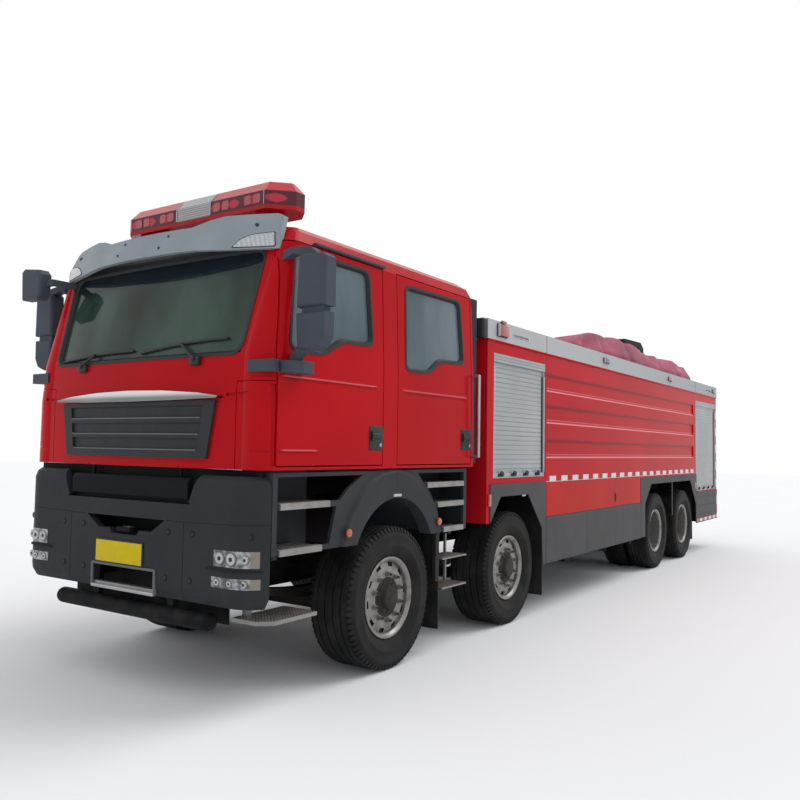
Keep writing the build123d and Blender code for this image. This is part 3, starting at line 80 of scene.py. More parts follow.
# The light of a plain overcast day, with one broad soft source high over the front left corner, and a
# pale concrete floor. The sky is white where it is seen directly, in a reflection or through glass.
class Wire:
    """One output in a material or in the sky. Arithmetic on it adds Math nodes."""

    def __init__(self, tree, socket=None):
        self.tree = tree
        self.socket = socket

    def node(self, kind, settings=None, inputs=None, out=0):
        """Any node from its type, its settings, and the values or wires of its sockets."""
        made = self.tree.nodes.new(kind)
        for key, value in (settings or {}).items():
            if key == "stops":
                ramp = made.color_ramp
                while len(ramp.elements) < len(value):
                    ramp.elements.new(0.5)
                for stop, (place, colour) in zip(ramp.elements, value):
                    stop.position = place
                    stop.color = colour
            else:
                setattr(made, key, value)
        for key, value in (inputs or {}).items():
            if isinstance(value, Wire):
                self.tree.links.new(value.socket, made.inputs[key])
            else:
                made.inputs[key].default_value = value
        return Wire(self.tree, made.outputs[out] if len(made.outputs) > out else None)

    def math(self, operation, *values):
        return self.node("ShaderNodeMath", {"operation": operation}, dict(enumerate(values)))

    def __add__(self, other):
        return self.math("ADD", self, other)

    def __radd__(self, other):
        return self.math("ADD", other, self)

    def __sub__(self, other):
        return self.math("SUBTRACT", self, other)

    def __rsub__(self, other):
        return self.math("SUBTRACT", other, self)

    def __mul__(self, other):
        return self.math("MULTIPLY", self, other)

    def __rmul__(self, other):
        return self.math("MULTIPLY", other, self)

    def __truediv__(self, other):
        return self.math("DIVIDE", self, other)

    def __abs__(self):
        return self.math("ABSOLUTE", self)

    def spot(self):
        """The point on the piece as one vector wire."""
        return self.node("ShaderNodeTexCoord", out=3)

    def place(self):
        """The point on the piece as three wires: across, along and height."""
        spot = self.spot()
        return [self.node("ShaderNodeSeparateXYZ", inputs={0: spot}, out=k) for k in range(3)]

    def noise(self, scale, detail=3.0, stretch=(1, 1, 1)):
        """Even cloudy variation about a half, drawn out along an axis by a stretch below 1."""
        spot = self.node("ShaderNodeVectorMath", {"operation": "MULTIPLY"}, {0: self.spot(), 1: stretch})
        return self.node("ShaderNodeTexNoise", inputs={"Vector": spot, "Scale": scale, "Detail": detail})

    def upward(self):
        """1 where the surface looks up, 0 where it stands or looks down."""
        facing = self.node("ShaderNodeNewGeometry", out=1)
        return self.node("ShaderNodeSeparateXYZ", inputs={0: facing}, out=2).step(0.5, 0.8)

    def step(self, low, high):
        """0 below low, 1 above high, smooth between."""
        return self.node("ShaderNodeMapRange", {"interpolation_type": "SMOOTHSTEP"},
                         {"Value": self, "From Min": low, "From Max": high})

    def waves(self, pitch):
        """A ridge of 1 and a valley of 0 at every pitch along this wire."""
        return self.math("PINGPONG", self, pitch / 2) / (pitch / 2)

    def blend(self, first, second):
        """A colour between two, by this wire."""
        return self.node("ShaderNodeMix", {"data_type": "RGBA"}, {0: self, 6: first, 7: second}, out=2)

    def bump(self, strength, distance):
        return self.node("ShaderNodeBump",
                         inputs={"Strength": strength, "Distance": distance, "Height": self})


SKY_STRENGTH = 0.80
SKY_TINT = (0.93, 0.96, 1.0, 1)
SUN_STRENGTH, SUN_ANGLE = 1.1, math.radians(35)
SUN_TILT = (math.radians(-32), math.radians(24), 0)
sky = bpy.data.worlds.new("overcast")
scene.world = sky
sky.use_nodes = True
sky.node_tree.nodes.clear()
wire = Wire(sky.node_tree)
camera_ray, glossy_ray, through_ray = (wire.node("ShaderNodeLightPath", out=k) for k in (0, 3, 6))
seen = camera_ray.math("MAXIMUM", camera_ray, glossy_ray.math("MAXIMUM", glossy_ray, through_ray))
glow = wire.node("ShaderNodeBackground", inputs={"Color": SKY_TINT, "Strength": SKY_STRENGTH})
white = wire.node("ShaderNodeBackground", inputs={"Color": (1, 1, 1, 1), "Strength": 1.0})
shown = wire.node("ShaderNodeMixShader", inputs={0: seen, 1: glow, 2: white})
wire.node("ShaderNodeOutputWorld", inputs={"Surface": shown})

sun = bpy.data.lights.new("high_cloud", "SUN")
sun.energy = SUN_STRENGTH
sun.angle = SUN_ANGLE
lamp = bpy.data.objects.new("high_cloud", sun)
lamp.rotation_euler = SUN_TILT
scene.collection.objects.link(lamp)


def srgb(red, green, blue):
    """A colour as it shows, from 0 to 255, turned into the light values that the shader takes."""
    parts = [c / 255 for c in (red, green, blue)]
    return tuple(c / 12.92 if c <= 0.04045 else ((c + 0.055) / 1.055) ** 2.4 for c in parts) + (1,)


def finish(name, **fixed):
    """A new material with fixed shader values, a wire to build from, and a way to plug wires in."""
    material = bpy.data.materials.new(name)
    material.use_nodes = True
    tree = material.node_tree
    shader = tree.nodes["Principled BSDF"]
    for key, value in fixed.items():
        shader.inputs[key.replace("_", " ")].default_value = value

    def plug(socket, wire):
        tree.links.new(wire.socket, shader.inputs[socket])

    return material, Wire(tree), plug


def mottled(name, dark, light, cloud, gloss=None, relief=None, **fixed):
    """Clouds of two colours, an uneven gloss and a fine relief, each from its own noise."""
    material, wire, plug = finish(name, **fixed)
    plug("Base Color", wire.noise(*cloud).blend(srgb(*dark), srgb(*light)))
    if gloss:
        least, spread, *grain = gloss
        plug("Roughness", least + wire.noise(*grain) * spread)
    if relief:
        strength, distance, *grain = relief
        plug("Normal", wire.noise(*grain).bump(strength, distance))
    return material


FLOOR_HALF = 60
concrete, wire, plug = finish("pale_floor", Roughness=0.9)
plug("Base Color", wire.noise(0.4, 3.0).blend((0.90, 0.90, 0.90, 1), (0.93, 0.93, 0.93, 1)))
ground = bmesh.new()
bmesh.ops.create_grid(ground, x_segments=1, y_segments=1, size=FLOOR_HALF)
floor_mesh = bpy.data.meshes.new("floor")
ground.to_mesh(floor_mesh)
ground.free()
floor_mesh.materials.append(concrete)
floor = bpy.data.objects.new("floor", floor_mesh)
scene.collection.objects.link(floor)


# The ladder frame, axles, drive shafts, knuckles and under-run bars are welded and cast steel in black
# chassis paint, dulled by road dust from below. The springs are bare dark leaves, clamped by U-bolts.
def paint(name, colour, gloss=0.30, coat=0.0, dust=0.5, edges=None):
    """Sprayed paint: slow colour drift, fine orange peel, road dust that thickens towards the ground."""
    material, wire, plug = finish(name, Specular_IOR_Level=0.04, Coat_Weight=coat, Coat_Roughness=0.06)
    x, y, z = wire.place()
    deep = tuple(c * 0.86 for c in colour[:3]) + (1,)
    body = wire.noise(0.9, 2.0).step(0.3, 0.7).blend(deep, colour)
    # The edges hook paints highlight and shade along pressed folds into the colour.
    if edges:
        body = edges(wire, body)
    grime = (1.5 - z).step(0.0, 1.3) * wire.noise(7.0, 6.0).step(0.35, 0.75) * dust
    plug("Base Color", (grime * 0.22).blend(body, srgb(122, 112, 102)))
    plug("Roughness", gloss + grime * 0.35 + wire.noise(30.0, 3.0) * 0.06)
    plug("Normal", wire.noise(120.0, 1.0).bump(0.02, 0.0003))
    return material


def dress(material, *names):
    """Give CAD nodes a finish."""
    for name in names:
        cad[name].data.materials.clear()
        cad[name].data.materials.append(material)


def piece(name, shape, body, *materials, smooth=True, slot=None, stands_for=()):
    """Turn a finished bmesh into an object with its finishes, riding on a body."""
    bmesh.ops.remove_doubles(shape, verts=shape.verts, dist=1e-5)
    bmesh.ops.recalc_face_normals(shape, faces=shape.faces)
    mesh = bpy.data.meshes.new(name)
    shape.to_mesh(mesh)
    shape.free()
    for material in materials:
        mesh.materials.append(material)
    if smooth:
        mesh.shade_smooth()
        mesh.set_sharp_from_angle(angle=math.radians(32))
    made = bpy.data.objects.new(name, mesh)
    scene.collection.objects.link(made)
    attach(made, body)
    if stands_for:
        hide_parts(*stands_for)
    return made


def grown(shape, verts, round_off, segments, index):
    """Give a new lump of a shape its finish and rounded edges."""
    for vert in verts:
        for face in vert.link_faces:
            face.material_index = index
    if round_off:
        edges = list(dict.fromkeys(e for v in verts for e in v.link_edges))
        bmesh.ops.bevel(shape, geom=edges, offset=round_off, segments=segments, profile=0.5, affect="EDGES",
                        material=-1, clamp_overlap=True)


def out(s, x, depth):
    """The span across of what stands out from a side by a depth."""
    return s * x, s * (x + depth)


def brick(shape, x, y, z, round_off=0.0, segments=2, index=0):
    """A block from its spans across, along and up, with rounded edges."""
    low, high = at(min(x), min(y), min(z)), at(max(x), max(y), max(z))
    size = Matrix.Diagonal([*(high - low), 1])
    made = bmesh.ops.create_cube(shape, size=1.0, matrix=Matrix.Translation((low + high) / 2) @ size)["verts"]
    grown(shape, made, round_off, segments, index)


def bar(shape, start, end, radius, sides=12, index=0, tip=None, round_off=0.0):
    """A round bar between two points, or a cone if its tip radius is given."""
    start, end = at(*start), at(*end)
    turn = (end - start).to_track_quat("Z", "Y").to_matrix().to_4x4()
    made = bmesh.ops.create_cone(shape, cap_ends=True, segments=sides, radius1=radius,
                                 radius2=radius if tip is None else tip, depth=(end - start).length,
                                 matrix=Matrix.Translation((start + end) / 2) @ turn)["verts"]
    grown(shape, made, round_off, 2, index)


def peg(shape, x, y, z, *about, **more):
    """A round bar along one axis, whose place on that axis is a span."""
    spans = [place if isinstance(place, tuple) else (place, place) for place in (x, y, z)]
    bar(shape, *zip(*spans), *about, **more)


def thicken(shape, faces, depth):
    """Raise faces by the vector depth. Gives the new points."""
    new = bmesh.ops.extrude_face_region(shape, geom=faces)["geom"]
    raised = [g for g in new if isinstance(g, bmesh.types.BMVert)]
    bmesh.ops.translate(shape, verts=raised, vec=depth)
    return raised


def panel(shape, outline, depth, round_off=0.0, segments=2, index=0):
    """A flat outline raised by the vector depth, its edges rounded."""
    face = shape.faces.new([shape.verts.new(at(*p)) for p in outline])
    lifted = thicken(shape, [face], depth)
    verts = dict.fromkeys(v for near in lifted for f in near.link_faces for v in f.verts)
    if face.is_valid:
        verts.update(dict.fromkeys(face.verts))
    grown(shape, list(verts), round_off, segments, index)


chassis_black = paint("chassis_black", srgb(27, 28, 30), gloss=0.42, dust=0.6)
dress(chassis_black, "frame", "axles", "driveline", "front_bars",
      *[f"knuckle_{n}_{side}" for n in (1, 2) for side in ("left", "right")])

leaf_steel, wire, plug = finish("leaf_steel", Roughness=0.5)
x, y, z = wire.place()
plug("Base Color", wire.noise(9.0, 5.0).blend(srgb(36, 35, 35), srgb(66, 56, 48)))
plug("Roughness", 0.45 + wire.noise(40.0, 3.0) * 0.3)
plug("Normal", (z.waves(0.016).step(0.0, 0.35)).bump(0.6, 0.003))
dress(leaf_steel, "leaf_springs")

# Tyres: black rubber with wide circumferential grooves, a row of lugs on each shoulder and raised rings
# on the side walls. Dust lies on the tread and in the foot of the side wall.
AXLE_Z = 0.520
TREAD_R = 0.520
GROOVE_R = 0.507
LUGS = 72
SINGLE_X = 1.015
PAIR_X, PAIR_OFFSET = 0.900, 0.175
STEERED = (("1", 0.0), ("2", 1.950))
DRIVEN = (("3", 6.550), ("4", 7.950))
# The axles, the ending of their names, the tyres' places across, their width and half the bead's.
TYRES = ((STEERED, "", (SINGLE_X,), 0.385, 0.1447),
         (DRIVEN, "s", (PAIR_X - PAIR_OFFSET, PAIR_X + PAIR_OFFSET), 0.305, 0.1097))
SIDES = (("left", 1), ("right", -1))

rubber, wire, plug = finish("tyre_rubber", Specular_IOR_Level=0.15)
worn = wire.noise(5.0, 6.0).step(0.35, 0.8)
plug("Base Color", worn.blend(srgb(27, 27, 28), srgb(50, 49, 47)))
plug("Roughness", 0.62 + worn * 0.22)
plug("Normal", wire.noise(180.0, 4.0).bump(0.22, 0.0012))


def join(shape, part):
    """Take a finished lump into the shape of its piece."""
    mesh = bpy.data.meshes.new("lump")
    part.to_mesh(mesh)
    part.free()
    shape.from_mesh(mesh)
    bpy.data.meshes.remove(mesh)


def spun(shape, section, station, steps=96, index=0, closed=True, then=None):
    """A section of (across, radius) points turned once round the axle line at a station."""
    hub = at(0, station, AXLE_Z)
    part = bmesh.new()
    verts = [part.verts.new((x, hub.y, hub.z + r)) for x, r in section]
    pairs = list(zip(verts, verts[1:])) + ([(verts[-1], verts[0])] if closed else [])
    edges = [part.edges.new(pair) for pair in pairs]
    bmesh.ops.spin(part, geom=verts + edges, cent=hub, axis=(1, 0, 0), angle=math.tau, steps=steps,
                   use_merge=True)
    for face in part.faces:
        face.material_index = index
    if then:
        bmesh.ops.recalc_face_normals(part, faces=part.faces)
        then(part)
    join(shape, part)


def around(shape, count, station, build):
    """A lump that build makes, repeated evenly round the axle line."""
    part = bmesh.new()
    build(part)
    bmesh.ops.spin(part, geom=[*part.verts, *part.edges, *part.faces], cent=at(0, station, AXLE_Z),
                   axis=(1, 0, 0),
                   angle=math.tau * (count - 1) / count, steps=count - 1, use_duplicate=True)
    join(shape, part)


def tyre(shape, centre, width, bead, station):
    """One tyre on its axle line, with the shoulder lugs of both sides."""
    edge = width / 2
    tread = edge - 0.048
    half = [(bead, 0.2853), (bead, 0.302), (edge - 0.012, 0.345), (edge - 0.003, 0.378),
            (edge - 0.001, 0.382),
            (edge - 0.001, 0.388), (edge - 0.002, 0.391), (edge, 0.410), (edge - 0.003, 0.448),
            (edge - 0.002, 0.452),
            (edge - 0.004, 0.462), (edge - 0.008, 0.470), (edge - 0.024, 0.497), (tread + 0.002, GROOVE_R),
            (tread - 0.002, TREAD_R)]
    for share in (0.70, 0.24):
        mid = tread * share
        half += [(mid + 0.006, TREAD_R), (mid + 0.004, GROOVE_R), (mid - 0.004, GROOVE_R),
                 (mid - 0.006, TREAD_R)]
    section = [(centre + x, r) for x, r in half] + [(centre - x, r) for x, r in reversed(half)]
    spun(shape, section, station)
    for s in (-1, 1):
        def lug(part):
            flat = [(s * (tread + 0.004), TREAD_R - 0.001), (s * (edge - 0.026), TREAD_R - 0.005),
                    (s * (edge - 0.009), 0.484), (s * (edge - 0.030), 0.484), (s * (tread + 0.004), 0.500)]
            panel(part, [(centre + x, station - 0.014, AXLE_Z + r) for x, r in flat], (0, 0.028, 0))
        around(shape, LUGS, station, lug)


for axles, plural, centres, width, bead in TYRES:
    for axle, station in axles:
        for side, s in SIDES:
            shape = bmesh.new()
            for centre in centres:
                tyre(shape, s * centre, width, bead, station)
            end = f"{plural}_{axle}_{side}"
            piece("tread" + end, shape, "wheel" + end, rubber, slot="tyre", stands_for=["tyre" + end])

# Wheels: pressed steel discs welded into rolled rims and painted silver, with ten hand holes near the
# rim, ten nuts on long studs, and a dark cast hub with its ring of small bolts.
NUTS, NUT_R = 10, 0.1675
BOLTS, BOLT_R = 12, 0.104
RIM_HALF_FRONT, RIM_HALF_REAR = 0.157, 0.122
DISC_X = 0.118
HOLE_RING = (0.224, 0.256)
HOLE_DEPTH = 0.013
HUB_FACE_R = 0.148
DISC_STEPS, HOLE_STEPS = 80, 3
rim_silver, wire, plug = finish("rim_silver", Metallic=0.55)
stain = wire.noise(14.0, 6.0).step(0.4, 0.8)
plug("Base Color", (stain * 0.6).blend(srgb(140, 138, 135), srgb(82, 76, 68)))
plug("Roughness", 0.36 + stain * 0.3)
plug("Normal", wire.noise(200.0, 3.0).bump(0.06, 0.001))
hub_iron = paint("hub_iron", srgb(58, 57, 56), gloss=0.45, dust=0.9)
# Near black, as painted shade in the wheels' hand holes and the bumper's sunk screw holes; it also colours a
# strip between the headlamps.
black_and_hole_shade = mottled("painted_hole_shade_black", (12, 12, 12), (24, 23, 22), (40.0, 2.0), Roughness=0.9)


def barrel(shape, centre, half, station):
    """A rolled rim with a rounded flange at each edge and a drop towards its middle."""
    side = [(half - 0.020, 0.262), (half - 0.008, 0.271), (half - 0.001, 0.280), (half, 0.294),
            (half - 0.004, 0.298),
            (half - 0.010, 0.297), (half - 0.012, 0.285)]
    section = [(centre + x, r) for x, r in side] + [(centre - x, r) for x, r in reversed(side)]
    spun(shape, section, station)


def disc(shape, section, station, s):
    """A wheel disc, with a pocket sunk for each hand hole in its outer ring, in near black as painted shade.
    """
    def hand_holes(part):
        chosen = []
        for face in part.faces:
            off = face.calc_center_median() - at(0, station, AXLE_Z)
            radius = math.hypot(off.y, off.z)
            turn = (math.atan2(off.z, off.y) / math.tau * DISC_STEPS) % (DISC_STEPS // NUTS)
            if radius < HUB_FACE_R:
                face.material_index = 1
            if HOLE_RING[0] < radius < HOLE_RING[1] and turn < HOLE_STEPS and face.normal.x * s > 0.3:
                chosen.append(face)
        rim = bmesh.ops.inset_region(part, faces=chosen, thickness=0.003, depth=-HOLE_DEPTH,
                                     use_even_offset=True)["faces"]
        for face in chosen + rim:
            face.material_index = 2
    spun(shape, section, station, DISC_STEPS, then=hand_holes)


def studs(shape, x, station, s):
    """The ring of wheel nuts on their studs."""
    def nut(part):
        z = AXLE_Z + NUT_R
        peg(part, (x, x + s * 0.006), station, z, 0.022, sides=16)
        peg(part, (x + s * 0.006, x + s * 0.030), station, z, 0.0165, sides=6, tip=0.0155)
        peg(part, (x + s * 0.030, x + s * 0.044), station, z, 0.0095, sides=8, index=1)
    around(shape, NUTS, station, nut)


for axle, station in STEERED:
    for side, s in SIDES:
        shape = bmesh.new()
        face_x = SINGLE_X + DISC_X
        barrel(shape, s * SINGLE_X, RIM_HALF_FRONT, station)
        plate = [(-0.020, 0.264), (-0.004, 0.264), (0.001, 0.256), (0.010, 0.224), (0.014, 0.204),
                 (0.014, 0.146), (0.014, 0.100),
                 (0.000, 0.100), (0.000, 0.204)]
        disc(shape, [(s * (face_x + x), r) for x, r in plate], station, s)
        studs(shape, s * (face_x + 0.014), station, s)
        hub = [(0.0, 0.0), (0.0, 0.118), (0.018, 0.118), (0.022, 0.116), (0.024, 0.092), (0.050, 0.086),
               (0.058, 0.082),
               (0.063, 0.070), (0.064, 0.0)]
        spun(shape, [(s * (face_x + x), r) for x, r in hub], station, 48, 1, closed=False)
        drum = [(-0.140, 0.195), (-0.140, 0.209), (0.030, 0.209), (0.030, 0.110), (0.016, 0.110),
                (0.016, 0.195)]
        spun(shape, [(s * (SINGLE_X + x), r) for x, r in drum], station, 48, 1)

        def cap_bolt(part):
            z = AXLE_Z + BOLT_R
            peg(part, (s * (face_x + 0.018), s * (face_x + 0.027)), station, z, 0.008, sides=6, index=1)
        around(shape, BOLTS, station, cap_bolt)
        piece(f"wheel_disc_{axle}_{side}", shape, f"wheel_{axle}_{side}", rim_silver, hub_iron, black_and_hole_shade,
              slot="silver_paint", stands_for=[f"rim_{axle}_{side}"])
for axle, station in DRIVEN:
    for side, s in SIDES:
        shape = bmesh.new()
        for offset in (-PAIR_OFFSET, PAIR_OFFSET):
            barrel(shape, s * (PAIR_X + offset), RIM_HALF_REAR, station)
        for way in (1, -1):
            plate = [(0.000, 0.100), (0.014, 0.100), (0.014, 0.206), (0.026, 0.224), (0.054, 0.256),
                     (0.060, 0.264),
                     (0.044, 0.264), (0.000, 0.216)]
            disc(shape, [(s * (PAIR_X + way * x), r) for x, r in plate], station, s * way)
        studs(shape, s * (PAIR_X + 0.014), station, s)
        hub = [(-0.060, 0.0), (-0.060, 0.145), (0.016, 0.145), (0.095, 0.143), (0.101, 0.132), (0.170, 0.118),
               (0.176, 0.108), (0.208, 0.102), (0.214, 0.090), (0.215, 0.0)]
        spun(shape, [(s * (PAIR_X + x), r) for x, r in hub], station, 48, 1, closed=False)
        drum = [(-0.300, 0.198), (-0.300, 0.213), (-0.040, 0.213), (-0.040, 0.140), (-0.054, 0.140),
                (-0.054, 0.198)]
        spun(shape, [(s * (PAIR_X + x), r) for x, r in drum], station, 48, 1)
        piece(f"wheel_discs_{axle}_{side}", shape, f"wheels_{axle}_{side}", rim_silver, hub_iron, black_and_hole_shade,
              slot="silver_paint", stands_for=[f"rims_{axle}_{side}"])

# Superstructure: welded sheet steel in red lacquer, with three long pressed channels in each side. White
# reflective squares are glued along both sides over a thin white line.
BODY_X = 1.240
BODY_RED = srgb(188, 22, 32)
CHANNELS = ((2.228, 2.402), (1.902, 2.082), (1.548, 1.732))
CHANNEL_Y = (2.665, 8.495)
CHANNEL_SLOPE = 0.022


def painted_channel_light(wire, body):
    """Painted highlight as pale lines along the lower folds of the channels, and painted shadow in the upper
    ones.
    """
    x, y, z = wire.place()
    half = (CHANNEL_Y[1] - CHANNEL_Y[0]) / 2
    inside = abs(y - (AXLE_1 + CHANNEL_Y[0] + half)).step(half, half - 0.004)
    for low, high in CHANNELS:
        # The foot and fold lines are painted highlight where the lower faces catch the sky; the shadow band
        # is painted shade under each channel's top.
        foot = abs(z - (low + 0.002)).step(0.010, 0.003) * inside * 0.85
        fold_highlight = abs(z - (low + CHANNEL_SLOPE + 0.010)).step(0.007, 0.002) * inside * 0.6
        shadow = abs(z - (high - 0.012)).step(0.030, 0.004) * inside * 0.6
        body = foot.blend(body, srgb(240, 150, 156))
        body = fold_highlight.blend(body, srgb(232, 120, 128))
        body = shadow.blend(body, srgb(120, 20, 28))
    return body


body_paint = paint("body_paint", BODY_RED, gloss=0.26, coat=0.02, dust=0.15, edges=painted_channel_light)
dress(body_paint, "body")
WELL_X, WELL_Y, WELL_TOP = 1.236, (1.40, 10.0), 1.30
body_mesh = cad["body"].data
body_mesh.materials.append(chassis_black)
for face in body_mesh.polygons:
    x, y, z = face.center
    if z < WELL_TOP and abs(x) < WELL_X and WELL_Y[0] < y - AXLE_1 < WELL_Y[1]:
        face.material_index = 1
MARK_Y = (2.747, 8.476)
MARK_Z = (1.303, 1.360)
MARKS = 19
MARK_W = 0.165
beads, wire, plug = finish("reflective_film", Metallic=0.1)
x, y, z = wire.place()
comb = (y + z).waves(0.012) * (y - z).waves(0.012)
plug("Base Color", comb.step(0.1, 0.6).blend(srgb(196, 198, 200), srgb(226, 227, 228)))
plug("Roughness", 0.28 + wire.noise(60.0) * 0.2)
plug("Normal", comb.bump(0.25, 0.0006))
for side, s in SIDES:
    shape = bmesh.new()
    pitch = (MARK_Y[1] - MARK_Y[0] - MARK_W) / (MARKS - 1)
    for k in range(MARKS):
        start = MARK_Y[0] + k * pitch
        brick(shape, out(s, BODY_X, 0.0012), (start, start + MARK_W), MARK_Z, 0.0004, 1)
    brick(shape, out(s, BODY_X, 0.0014), (2.66, 8.50), (1.301, 1.3065), 0.0003, 1)
    piece(f"side_marks_{side}", shape, "chassis", beads, smooth=False)

# Lower side panels: hinged lids of folded sheet steel below the body, sprayed in a warmer, older red than
# the sides. A sunk black latch holds them shut.
panel_paint = paint("panel_paint", srgb(188, 38, 30), gloss=0.34, coat=0.02, dust=0.25)
dress(panel_paint, "lower_panels")
latch_black = mottled("latch_plastic", (20, 20, 22), (40, 40, 42), (50.0, 4.0), (0.42, 0.2, 90.0),
                      (0.1, 0.0006, 500.0, 2.0), Specular_IOR_Level=0.4)
LOW_PANEL_X = 1.250
for side, s in SIDES:
    shape = bmesh.new()
    brick(shape, out(s, LOW_PANEL_X, 0.004), (4.700, 4.742), (1.010, 1.125), 0.0035, 3)
    brick(shape, out(s, LOW_PANEL_X, 0.010), (4.713, 4.729), (1.025, 1.105), 0.004, 3)
    for y in (3.62, 4.69):
        brick(shape, out(s, LOW_PANEL_X, 0.0006), (y - 0.0035, y), (0.956, 1.299), 0.0002, 1)
    piece(f"panel_latch_{side}", shape, "chassis", latch_black)

# Roller shutters: interlocking aluminium slats in silver paint, run in alloy side rails with a black
# brush seal. The stiff bottom rail carries four black turn latches over a bright pull lip.
slat, wire, plug = finish("shutter_slats", Metallic=0.15, Specular_IOR_Level=0.3)
x, y, z = wire.place()
rib = z.waves(0.040).step(0.0, 0.16)
plug("Base Color", rib.blend(srgb(148, 152, 154), wire.noise(1.2, 2.0).step(0.3, 0.7).blend(
    srgb(158, 162, 164), srgb(170, 173, 175))))
plug("Roughness", 0.40 + wire.noise(20.0, 4.0, (1, 0.1, 1)) * 0.15)
plug("Normal", rib.bump(0.15, 0.001))
dress(slat, "shutters")
BRUSHED = (1, 0.05, 1)
alloy = mottled("brushed_alloy", (150, 152, 153), (182, 183, 183), (6.0, 5.0),
                (0.34, 0.22, 160.0, 3.0, BRUSHED),
                (0.08, 0.0005, 400.0, 2.0, BRUSHED), Metallic=0.75)
SHUTTER_FACE = 1.2185
for name, y0, y1, z0, z1 in (("front", 1.500, 2.625, 1.360, 2.495), ("rear", 8.640, 9.985, 1.000, 2.480)):
    for side, s in SIDES:
        shape = bmesh.new()
        for edge, way in ((y0, 1), (y1, -1)):
            brick(shape, (s * SHUTTER_FACE, s * (BODY_X - 0.001)), (edge + way * 0.001, edge + way * 0.030),
                  (z0 + 0.046, z1 - 0.13), 0.003, 2)
            brick(shape, (s * SHUTTER_FACE, s * 1.224), (edge + way * 0.030, edge + way * 0.046),
                  (z0 + 0.046, z1 - 0.13), 0.002, 2, 1)
        brick(shape, (s * 1.2325, s * 1.2385), (y0 + 0.035, y1 - 0.035), (z0 + 0.002, z0 + 0.012), 0.002, 2)
        for k in range(4):
            mid = y0 + (y1 - y0) * (k + 0.62) / 4.25
            brick(shape, (s * 1.2325, s * 1.240), (mid - 0.055, mid + 0.055), (z0 + 0.014, z0 + 0.043), 0.003,
                  2, 1)
            peg(shape, (s * 1.238, s * 1.256), mid, z0 + 0.045, 0.021, 12, 1, round_off=0.003)
            brick(shape, (s * 1.250, s * 1.262), (mid - 0.050, mid + 0.020), (z0 + 0.036, z0 + 0.054), 0.004,
                  2, 1)
        piece(f"shutter_rails_{name}_{side}", shape, "chassis", alloy, latch_black)
BACK_Y = 10.070
shape = bmesh.new()
for s in (1, -1):
    brick(shape, (s * 0.799, s * 0.770), (BACK_Y - 0.020, BACK_Y - 0.001), (1.046, 2.350), 0.003, 2)
brick(shape, (-0.765, 0.765), (BACK_Y - 0.008, BACK_Y), (1.002, 1.012), 0.002, 2)
for k in (-1.5, -0.5, 0.5, 1.5):
    brick(shape, (k * 0.38 - 0.055, k * 0.38 + 0.055), (BACK_Y - 0.008, BACK_Y), (1.014, 1.043), 0.003, 2, 1)
    peg(shape, k * 0.38, (BACK_Y - 0.002, BACK_Y + 0.016), 1.045, 0.021, 12, 1, round_off=0.003)
piece("shutter_rails_back", shape, "chassis", alloy, latch_black)

# Top band: a folded aluminium coaming round the roof, painted silver grey, with warning lamps, scene
# lamps and louvres let into both sides and black corner caps behind the cab.
BAND_X = 1.250
band_paint, wire, plug = finish("band_paint", Coat_Weight=0.1, Coat_Roughness=0.1, Specular_IOR_Level=0.25)
x, y, z = wire.place()
# Painted shade: the band darkens towards the rear, mottled a little by noise.
rearward_shade = y.step(-2.6, 6.2)
plug("Base Color", (rearward_shade * 0.8 + wire.noise(3.0, 3.0) * 0.2).blend(srgb(176, 178, 178), srgb(146, 150, 153)))
plug("Roughness", 0.36 + wire.noise(18.0, 4.0) * 0.16)
plug("Normal", wire.noise(240.0, 2.0).bump(0.03, 0.001))
dress(band_paint, "top_band")


def lamp_glass(name, dark, light, glow=0.0):
    """A moulded lens with fine prisms on its inside."""
    material, wire, plug = finish(name, Coat_Weight=0.6, Coat_Roughness=0.04, Roughness=0.18)
    x, y, z = wire.place()
    prism = y.waves(0.010) * z.waves(0.010)
    shade = (prism * 0.7 + wire.noise(30.0) * 0.3).blend(dark, light)
    plug("Base Color", shade)
    plug("Normal", prism.bump(0.35, 0.0015))
    if glow:
        shader = material.node_tree.nodes["Principled BSDF"]
        shader.inputs["Emission Strength"].default_value = glow
        plug("Emission Color", shade)
    return material


